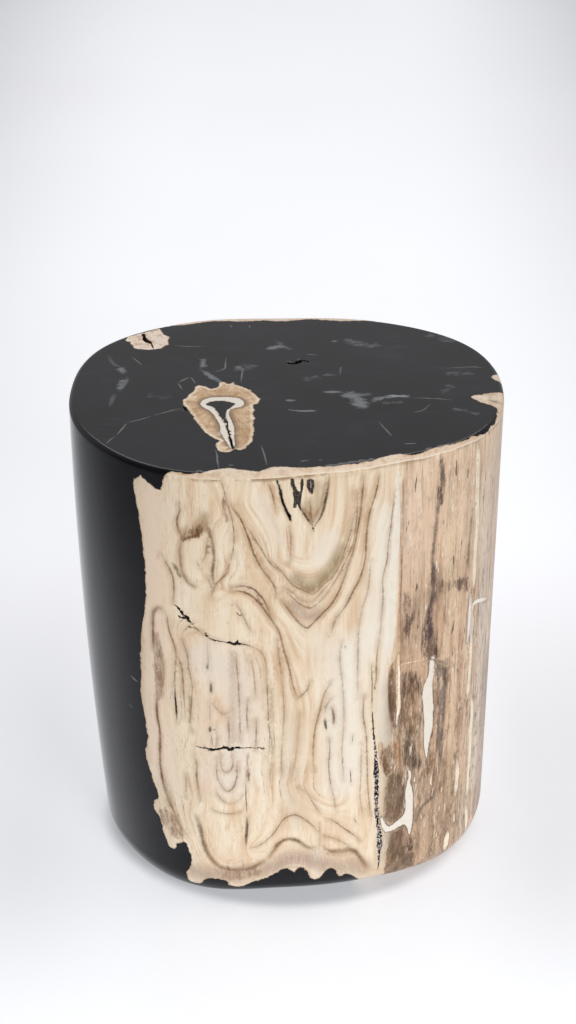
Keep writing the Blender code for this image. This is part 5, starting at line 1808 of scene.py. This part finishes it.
def fineGrain(tree, place, color):
    # short dark and pale fibres over the tints, most of them on the left of the front and at the right end
    across = axis(tree, place, 0)
    amount = calc(tree, "MAXIMUM", between(tree, across, -0.03, 0.05, 1.0, 0.35),
                  between(tree, across, 0.11, 0.14, 0.0, 0.9))
    amount = multiply(tree, amount, between(tree, grained(tree, place, "fiberPatch"), 0.42, 0.62, 0.08, 0.8))
    fine = grained(tree, place, "fibers")
    dark = multiply(tree, between(tree, fine, 0.52, 0.66, 0.0, 0.62), amount)
    color = blendColors(tree, dark, color, ink(creamStone["fiberShade"]), "MULTIPLY")
    pale = multiply(tree, between(tree, fine, 0.34, 0.5, 0.55, 0.0), amount)
    return blendColors(tree, pale, color, ink(creamStone["fiberGlow"]))


def rimBand(tree, place, color, run):
    across = axis(tree, place, 0)
    rightward = between(tree, across, 0.015, 0.05)
    # the worn edge of the seat: a paler band, a painted highlight (a bright line of light along its foot) and
    # a brown line under that
    level = calc(tree, "ADD", run, calc(tree, "MULTIPLY_ADD", grained(tree, place, "rimWaver"), 5.0, -2.5))
    # at the right end the band stops at the edge, so the wedge and the chip on the seat keep their colours
    onSeat = multiply(tree, between(tree, across, 0.14, 0.15), between(tree, level, -3.0, -0.5, 1.0, 0.0))
    inward = calc(tree, "SUBTRACT", 1.0, onSeat)
    band = multiply(tree, between(tree, level, 5.6, 6.8, 0.7, 0.0), inward)
    color = blendColors(tree, band, color, ink(creamStone["rimColor"]))
    broken = between(tree, grained(tree, place, "rimBreaks"), 0.4, 0.55)
    mottled = between(tree, grained(tree, place, "rimMottle"), 0.46, 0.66, 0.0, 0.55)
    onBand = multiply(tree, between(tree, level, 5.0, 7.0, 1.0, 0.0), inward)
    color = blendColors(tree, multiply(tree, mottled, onBand), color, ink(creamStone["rimMottle"]))
    under = multiply(tree, between(tree, level, 6.8, 7.6), between(tree, level, 7.8, 11.5, 1.0, 0.0), broken)
    underShare = calc(tree, "MULTIPLY_ADD", rightward, -0.4, 0.8)
    color = blendColors(tree, multiply(tree, under, underShare), color, ink(creamStone["rimUnder"]))
    # painted highlight: the light caught along the foot of the seat's rounded edge, strongest towards the
    # right
    line = multiply(tree, between(tree, level, 5.8, 6.4), between(tree, level, 6.6, 7.2, 1.0, 0.0),
                    calc(tree, "MULTIPLY_ADD", rightward, 0.7, 0.2))
    return blendColors(tree, line, color, ink(creamStone["rimHighlight"]))


def stoneMaterial():
    material, tree, surface, place = newMaterial("polishedFossilWood")
    # two noises, in millimetres, that fray the distances read from the mesh
    wobble = calc(tree, "MULTIPLY_ADD", grained(tree, place, "wobble"), 0.6, -0.3)
    jag = calc(tree, "ADD", wobble, calc(tree, "MULTIPLY_ADD", grained(tree, place, "jag"), 1.6, -0.8))
    grit = grained(tree, place, "grit")
    run = field(tree, "run")
    cream = creamColor(tree, place, field(tree, "flow"), field(tree, "steep"))
    inBrown = between(tree, calc(tree, "ADD", field(tree, "brown"), wobble), -0.5, 0.5)
    streaky = grained(tree, place, "streaks")
    cloudNoise = grained(tree, place, "tintPatch")
    tint, tintShare = field(tree, "tint", "Color"), field(tree, "tint", "Alpha")
    brown = brownColor(tree, place, tint, tintShare, streaky)
    tintShare = multiply(tree, tintShare, between(tree, cloudNoise, 0.2, 0.6, 0.6, 1.1))
    color = blendColors(tree, inBrown, blendColors(tree, tintShare, cream, tint), brown)
    color = fineGrain(tree, place, color)
    color = rimBand(tree, place, color, run)
    shapeAway = calc(tree, "ADD", field(tree, "shapeAway"), multiply(tree, jag, 0.55))
    color = blendColors(tree, field(tree, "inKnot"), color, knotColor(tree, place, shapeAway))
    away = calc(tree, "ADD", field(tree, "inkAway"), multiply(tree, jag, 0.35))
    sided = calc(tree, "MULTIPLY_ADD", field(tree, "inkSide"), 0.42, 0.58)
    halo = multiply(tree, between(tree, away, 0.2, 5.5, 1.0, 0.0), sided, field(tree, "inkHalo"),
                    between(tree, grained(tree, place, "haloPatch"), 0.32, 0.62, 0.25, 1.0))
    haloColor = blendColors(tree, inBrown, ink(creamStone["haloColor"]), ink(brownStone["threadColor"]))
    color = blendColors(tree, multiply(tree, halo, 0.75), color, haloColor)
    lip = multiply(tree, between(tree, shapeAway, -1.5, -0.3), field(tree, "shapeDark"),
                   between(tree, grit, 0.36, 0.56, 0.35, 1.0))
    color = blendColors(tree, lip, color, ink(patchLook["lipColor"]))
    frayed = calc(tree, "MULTIPLY_ADD", calc(tree, "SUBTRACT", streaky, 0.5), 9.0,
                  calc(tree, "DIVIDE", shapeAway, field(tree, "shapeSoft")))
    inShape = between(tree, frayed, -0.8, 1.0)
    speckled = grained(tree, place, "speckles")
    coarse = between(tree, field(tree, "shapeSoft"), 0.6, 1.3)
    worn = blendValues(tree, coarse, between(tree, grit, 0.3, 0.5, 0.85, 1.0),
                       between(tree, speckled, 0.42, 0.54, 0.15, 1.0))
    inShape = multiply(tree, inShape, field(tree, "shapeColor", "Alpha"), worn)
    stain = grained(tree, place, "stain")
    patchColor = field(tree, "shapeColor", "Color")
    stained = blendColors(tree, 1.0, patchColor, ink(patchLook["stainColor"]), "MULTIPLY")
    stainShare = multiply(tree, between(tree, stain, 0.46, 0.62),
                          calc(tree, "MULTIPLY_ADD", coarse, 0.7, 0.1))
    patchColor = blendColors(tree, stainShare, patchColor, stained)
    color = blendColors(tree, inShape, color, patchColor)
    fibres = multiply(tree, inShape, coarse, between(tree, streaky, 0.49, 0.62, 0.0, 0.75))
    color = blendColors(tree, fibres, color, ink(patchLook["fiberColor"]))
    blots = calc(tree, "SUBTRACT", grained(tree, place, "blots"), 0.5)
    blots = multiply(tree, blots, 2.4, field(tree, "inkSoft"))
    outside = calc(tree, "ADD", calc(tree, "SUBTRACT", away, field(tree, "inkHalf")), blots)
    fade = calc(tree, "DIVIDE", outside, field(tree, "inkSoft"))
    inkShare = multiply(tree, between(tree, fade, -0.6, 1.0, 1.0, 0.0), field(tree, "inkColor", "Alpha"),
                        between(tree, grit, 0.34, 0.54, 0.55, 1.0))
    inked = blendColors(tree, inkShare, color, field(tree, "inkColor", "Color"))
    dark = blackColor(tree, place)
    torn = grained(tree, place, "cloudEdge")
    cloudAlpha = field(tree, "cloud", "Alpha")
    cloudEdge = calc(tree, "MULTIPLY_ADD", calc(tree, "SUBTRACT", torn, 0.5), 2.4, cloudAlpha)
    cloudShare = multiply(tree, between(tree, cloudEdge, 0.2, 0.8), between(tree, cloudAlpha, 0.02, 0.25))
    dark = blendColors(tree, cloudShare, dark, field(tree, "cloud", "Color"))
    dark = blendColors(tree, multiply(tree, inkShare, 0.9), dark, field(tree, "inkColor", "Color"))
    blackness = field(tree, "black")
    chipped = calc(tree, "MULTIPLY_ADD", grained(tree, place, "chips"), 6.0, -3.0)
    blackness = calc(tree, "ADD", blackness, chipped)
    inBlack = between(tree, calc(tree, "ADD", blackness, multiply(tree, jag, 0.7)), -0.25, 0.25)
    rimTan = between(tree, calc(tree, "ADD", blackness, jag), -1.6, -0.1, 0.0, 0.5)
    color = blendColors(tree, rimTan, inked, ink(creamStone["blackEdge"]))
    color = blendColors(tree, inBlack, color, dark)
    # painted shade: the deeper a point lies in a crack or void, the nearer its colour goes to near-black
    deep = between(tree, field(tree, "hollow"), 0.05, 1.0)
    color = blendColors(tree, multiply(tree, deep, 0.97), color, ink(patchLook["hollowShadeColor"]))
    tree.links.new(color, surface.inputs["Base Color"])
    surface.inputs["IOR"].default_value = creamStone["index"]
    smear = grained(tree, place, "smear")
    polish = calc(tree, "MULTIPLY_ADD", smear, 0.06, blackStone["roughness"] - 0.03)
    paleRough = calc(tree, "MULTIPLY_ADD", smear, 0.14, creamStone["roughness"] - 0.07)
    rough = blendValues(tree, inBlack, paleRough, polish)
    rough = calc(tree, "MAXIMUM", rough, multiply(tree, deep, 0.7))
    tree.links.new(rough, surface.inputs["Roughness"])
    relief = grained(tree, place, "relief")
    bump = addNode(tree, "ShaderNodeBump", {"Strength": 0.12, "Distance": 0.0006, "Height": relief})
    tree.links.new(bump.outputs[0], surface.inputs["Normal"])
    return material


stone.data.materials.append(stoneMaterial())
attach(stone, "root")
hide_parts(block["node"])
print("block finished")

# Small quartz crystals that line the long fissure

crystals = {
    "count": 400,
    "smallest": 0.00035,    # metres, a crystal's half width
    "largest": 0.00095,
    "lean": 0.7,            # radians either way
    "index": 1.5,
    "seed": 11,
    "sunk": 0.0016,         # how far under the skin they stand
    "tones": ((0.1, (20, 14, 16)), (0.4, (52, 38, 48)), (0.6, (120, 104, 114)), (0.76, (200, 190, 192)),
              (1.0, (244, 238, 236))),
}


def crystalShape():
    # one six-sided crystal, pointed at its upper end, a unit wide and standing on its origin
    levels = ((-1.2, 1.0), (1.5, 0.92))
    bm = bmesh.new()
    rings = []
    for height, width in levels:
        turns = [k * math.pi / 3 for k in range(6)]
        corners = [(width * math.cos(turn), width * math.sin(turn), height) for turn in turns]
        rings.append([bm.verts.new(corner) for corner in corners])
    tip = bm.verts.new((0.12, 0.08, 2.6))
    for k in range(6):
        following = (k + 1) % 6
        bm.faces.new((rings[0][k], rings[0][following], rings[1][following], rings[1][k]))
        bm.faces.new((rings[1][k], rings[1][following], tip))
    bm.faces.new(rings[0][::-1])
    mesh = bpy.data.meshes.new("crystalShape")
    bm.to_mesh(mesh)
    bm.free()
    return addObject("crystalShape", mesh)


def fissureBed():
    # a ribbon along the fissure, a little under the skin, for the crystals to stand on
    line = hollowLines[list(hollows).index("fissure")]
    pick = slice(len(line["u"]) // 6, len(line["u"]) - 3)
    trace = {"u": line["u"][pick], "t": line["t"][pick]}
    half = np.maximum(line["half"][pick] - 0.0002, 0.0002)
    sides = []
    for share in (-0.75, 0.0, 0.75):
        sideU, sideT = offsetTrace(trace, half * share)
        sides.append(spaceFrom(sideU, sideT) - skinNormals(sideU, sideT) * crystals["sunk"])
    count = len(sides[0])
    mesh = bpy.data.meshes.new("fissureBed")
    quads = []
    for lane in range(2):
        for k in range(count - 1):
            first = lane * count + k
            quads.append((first, first + 1, first + count + 1, first + count))
    mesh.from_pydata(np.concatenate(sides).tolist(), [], quads)
    mesh.update()
    return addObject("fissureBed", mesh), sum(face.area for face in mesh.polygons)


def crystalMaterial():
    material, tree, surface, place = newMaterial("fissureQuartz")
    tone = calc(tree, "MULTIPLY_ADD", noise(tree, place, 900.0, 2.0), 0.3, field(tree, "crystalTone"))
    color = ramp(tree, calc(tree, "SUBTRACT", tone, 0.15), crystals["tones"])
    tree.links.new(color, surface.inputs["Base Color"])
    rough = calc(tree, "MULTIPLY_ADD", noise(tree, place, 300.0), 0.2, 0.06)
    tree.links.new(rough, surface.inputs["Roughness"])
    surface.inputs["IOR"].default_value = crystals["index"]
    return material


def crystalTree():
    tree = bpy.data.node_groups.new("lineWithCrystals", "GeometryNodeTree")
    panel = tree.interface
    panel.new_socket("Geometry", in_out="INPUT", socket_type="NodeSocketGeometry")
    sockets = {"Crystal": "Object", "Stone": "Material", "Density": "Float", "Smallest": "Float",
               "Largest": "Float", "Lean": "Float", "Seed": "Int"}
    for name, kind in sockets.items():
        panel.new_socket(name, in_out="INPUT", socket_type="NodeSocket" + kind)
    panel.new_socket("Geometry", in_out="OUTPUT", socket_type="NodeSocketGeometry")
    given = addNode(tree, "NodeGroupInput").outputs
    spread = addNode(tree, "GeometryNodeDistributePointsOnFaces", {
        "Mesh": given["Geometry"], "Density": given["Density"], "Seed": given["Seed"]})
    lean = addNode(tree, "FunctionNodeRandomValue", data_type="FLOAT_VECTOR")
    spun = stretched(tree, given["Lean"], (1.0, 1.0, 4.5))
    back = stretched(tree, spun, (-1.0, -1.0, -1.0))
    tree.links.new(back, lean.inputs[0])
    tree.links.new(spun, lean.inputs[1])
    tree.links.new(given["Seed"], lean.inputs["Seed"])
    turned = addNode(tree, "FunctionNodeRotateRotation", {
        "Rotation": spread.outputs["Rotation"],
        "Rotate By": addNode(tree, "FunctionNodeEulerToRotation", {0: lean.outputs[0]}).outputs[0]})
    turned.rotation_space = "LOCAL"
    size = addNode(tree, "FunctionNodeRandomValue", data_type="FLOAT")
    tree.links.new(given["Smallest"], size.inputs[2])
    tree.links.new(given["Largest"], size.inputs[3])
    tree.links.new(given["Seed"], size.inputs["Seed"])
    shape = addNode(tree, "GeometryNodeObjectInfo", {"Object": given["Crystal"]})
    placed = addNode(tree, "GeometryNodeInstanceOnPoints", {
        "Points": spread.outputs["Points"], "Instance": shape.outputs["Geometry"],
        "Rotation": turned.outputs[0], "Scale": size.outputs[1]})
    tone = addNode(tree, "FunctionNodeRandomValue", data_type="FLOAT")
    stored = addNode(tree, "GeometryNodeStoreNamedAttribute", {
        "Geometry": placed.outputs[0], "Name": "crystalTone", "Value": tone.outputs[1]},
        data_type="FLOAT", domain="INSTANCE")
    real = addNode(tree, "GeometryNodeRealizeInstances", {0: stored.outputs[0]})
    dressed = addNode(tree, "GeometryNodeSetMaterial", {
        "Geometry": real.outputs[0], "Material": given["Stone"]})
    tree.links.new(dressed.outputs[0], addNode(tree, "NodeGroupOutput").inputs[0])
    return tree


def makeCrystals():
    bed, area = fissureBed()
    shape = crystalShape()
    modifier = bed.modifiers.new("lineWithCrystals", "NODES")
    modifier.node_group = crystalTree()
    values = {"Crystal": shape, "Stone": crystalMaterial(), "Density": crystals["count"] / area,
              "Smallest": crystals["smallest"], "Largest": crystals["largest"], "Lean": crystals["lean"],
              "Seed": crystals["seed"]}
    for socket in modifier.node_group.interface.items_tree:
        if socket.in_out == "INPUT" and socket.name in values:
            modifier[socket.identifier] = values[socket.name]
    bed.update_tag()
    bpy.context.view_layer.update()
    ready = bed.evaluated_get(bpy.context.evaluated_depsgraph_get())
    mesh = bpy.data.meshes.new_from_object(ready)
    mesh.name = "fissure_crystals"
    item = addObject("fissure_crystals", mesh)
    for helper in (bed, shape):
        bpy.data.objects.remove(helper)
    return item


fissureCrystals = makeCrystals()
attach(fissureCrystals, "root")
print("fissure lined:", len(fissureCrystals.data.polygons), "faces")

# Studio: a pale floor that glows, darkened by painted shade and shadow, a soft light overhead, keys in front
# and a dim glow behind

studio = {
    "floorColor": (202, 204, 208),
    "floorShade": (200, 200, 203),
    "floorReach": 9.0,
    "floorGlow": 0.97,
    # painted shade on the floor: how far its glow is dimmed in front and out at the sides
    "frontFloorShade": 0.25,
    "sideFloorShade": 0.35,
    "backGlow": 0.55,
    "frontGlow": 0.08,
    "lights": {
        "overhead": {"place": (0.0, 0.3, 2.9), "size": (2.0, 1.2), "power": 16.0, "mirrored": False},
        "leftKey": {"place": (-1.6, -2.6, 1.45), "size": (1.2, 1.0), "power": 7.0, "mirrored": True},
        "rightKey": {"place": (1.4, -2.8, 1.45), "size": (1.2, 1.0), "power": 44.0, "mirrored": True},
        "frontKey": {"place": (0.8, -3.1, 2.0), "size": (1.2, 0.8), "power": 26.0, "mirrored": False},
        "backFill": {"place": (0.0, 2.8, 2.8), "size": (2.4, 1.2), "power": 20.0, "mirrored": True},
    },
}


def makeFloor():
    mesh = bpy.data.meshes.new("paleFloor")
    reach = studio["floorReach"]
    corners = [(-reach, -reach, low.z), (reach, -reach, low.z), (reach, reach, low.z), (-reach, reach, low.z)]
    mesh.from_pydata(corners, [], [(0, 1, 2, 3)])
    item = addObject("paleFloor", mesh)
    material, tree, surface, place = newMaterial("paleFloor")
    tone = ramp(tree, noise(tree, place, 0.9), ((0.3, studio["floorShade"]), (0.7, studio["floorColor"])))
    across, ahead = addNode(tree, "ShaderNodeSeparateXYZ", {0: place}).outputs[0:2]
    aside = calc(tree, "ABSOLUTE", across)
    # painted shadow: the floor a little darker beside the block, to its left and right
    sidePaintedShadow = multiply(tree, between(tree, aside, 0.12, 0.26), between(tree, aside, 0.3, 0.6, 1.0, 0.0),
                      between(tree, ahead, -0.4, -0.05), between(tree, ahead, 0.1, 0.6, 1.0, 0.0))
    # painted shade: the floor's colour and glow dimmed towards the front and out to the sides
    floorPaintedShade = multiply(tree, between(tree, ahead, -1.1, -0.4, studio["frontFloorShade"], 1.0),
                    between(tree, aside, 0.2, 1.2, 1.0, studio["sideFloorShade"]),
                    calc(tree, "MULTIPLY_ADD", sidePaintedShadow, -0.2, 1.0))
    # painted contact shadow: the floor darker close round the block's foot
    contactShadowDistance = stretched(tree, place, (1 / high.x, 1 / high.y, 0.0))
    contactShadowDistance = addNode(tree, "ShaderNodeVectorMath", {0: contactShadowDistance}, operation="LENGTH").outputs["Value"]
    floorPaintedShade = multiply(tree, floorPaintedShade, between(tree, contactShadowDistance, 0.86, 0.96, 0.62, 1.0))
    dim = addNode(tree, "ShaderNodeCombineColor", {0: floorPaintedShade, 1: floorPaintedShade, 2: floorPaintedShade}).outputs[0]
    tone = blendColors(tree, 1.0, tone, dim, "MULTIPLY")
    # the floor takes light and also glows with this colour, its painted shade and shadows included
    tree.links.new(tone, surface.inputs["Base Color"])
    tree.links.new(tone, surface.inputs["Emission Color"])
    surface.inputs["Roughness"].default_value = 0.6
    surface.inputs["Emission Strength"].default_value = studio["floorGlow"]
    mesh.materials.append(material)
    return item


def makeLights():
    for name, look in studio["lights"].items():
        data = bpy.data.lights.new(name, "AREA")
        data.shape = "RECTANGLE"
        data.size, data.size_y = look["size"]
        data.energy = look["power"]
        item = addObject(name, data)
        item.location = look["place"]
        item.visible_glossy = look["mirrored"]
        aim = Vector((0.0, 0.0, 0.2)) - item.location
        item.rotation_euler = aim.to_track_quat("-Z", "Y").to_euler()
    world = bpy.data.worlds.new("studioAir")
    bpy.context.scene.world = world
    world.use_nodes = True
    tree = world.node_tree
    ahead = axis(tree, addNode(tree, "ShaderNodeTexCoord").outputs["Generated"], 1)
    glow = between(tree, ahead, -0.1, 0.6, studio["frontGlow"], studio["backGlow"])
    tree.links.new(glow, tree.nodes["Background"].inputs["Strength"])
    tree.nodes["Background"].inputs["Color"].default_value = (1.0, 1.0, 1.02, 1.0)


makeFloor()
makeLights()
bpy.context.scene.view_settings.view_transform = "Standard"
print("studio lit")
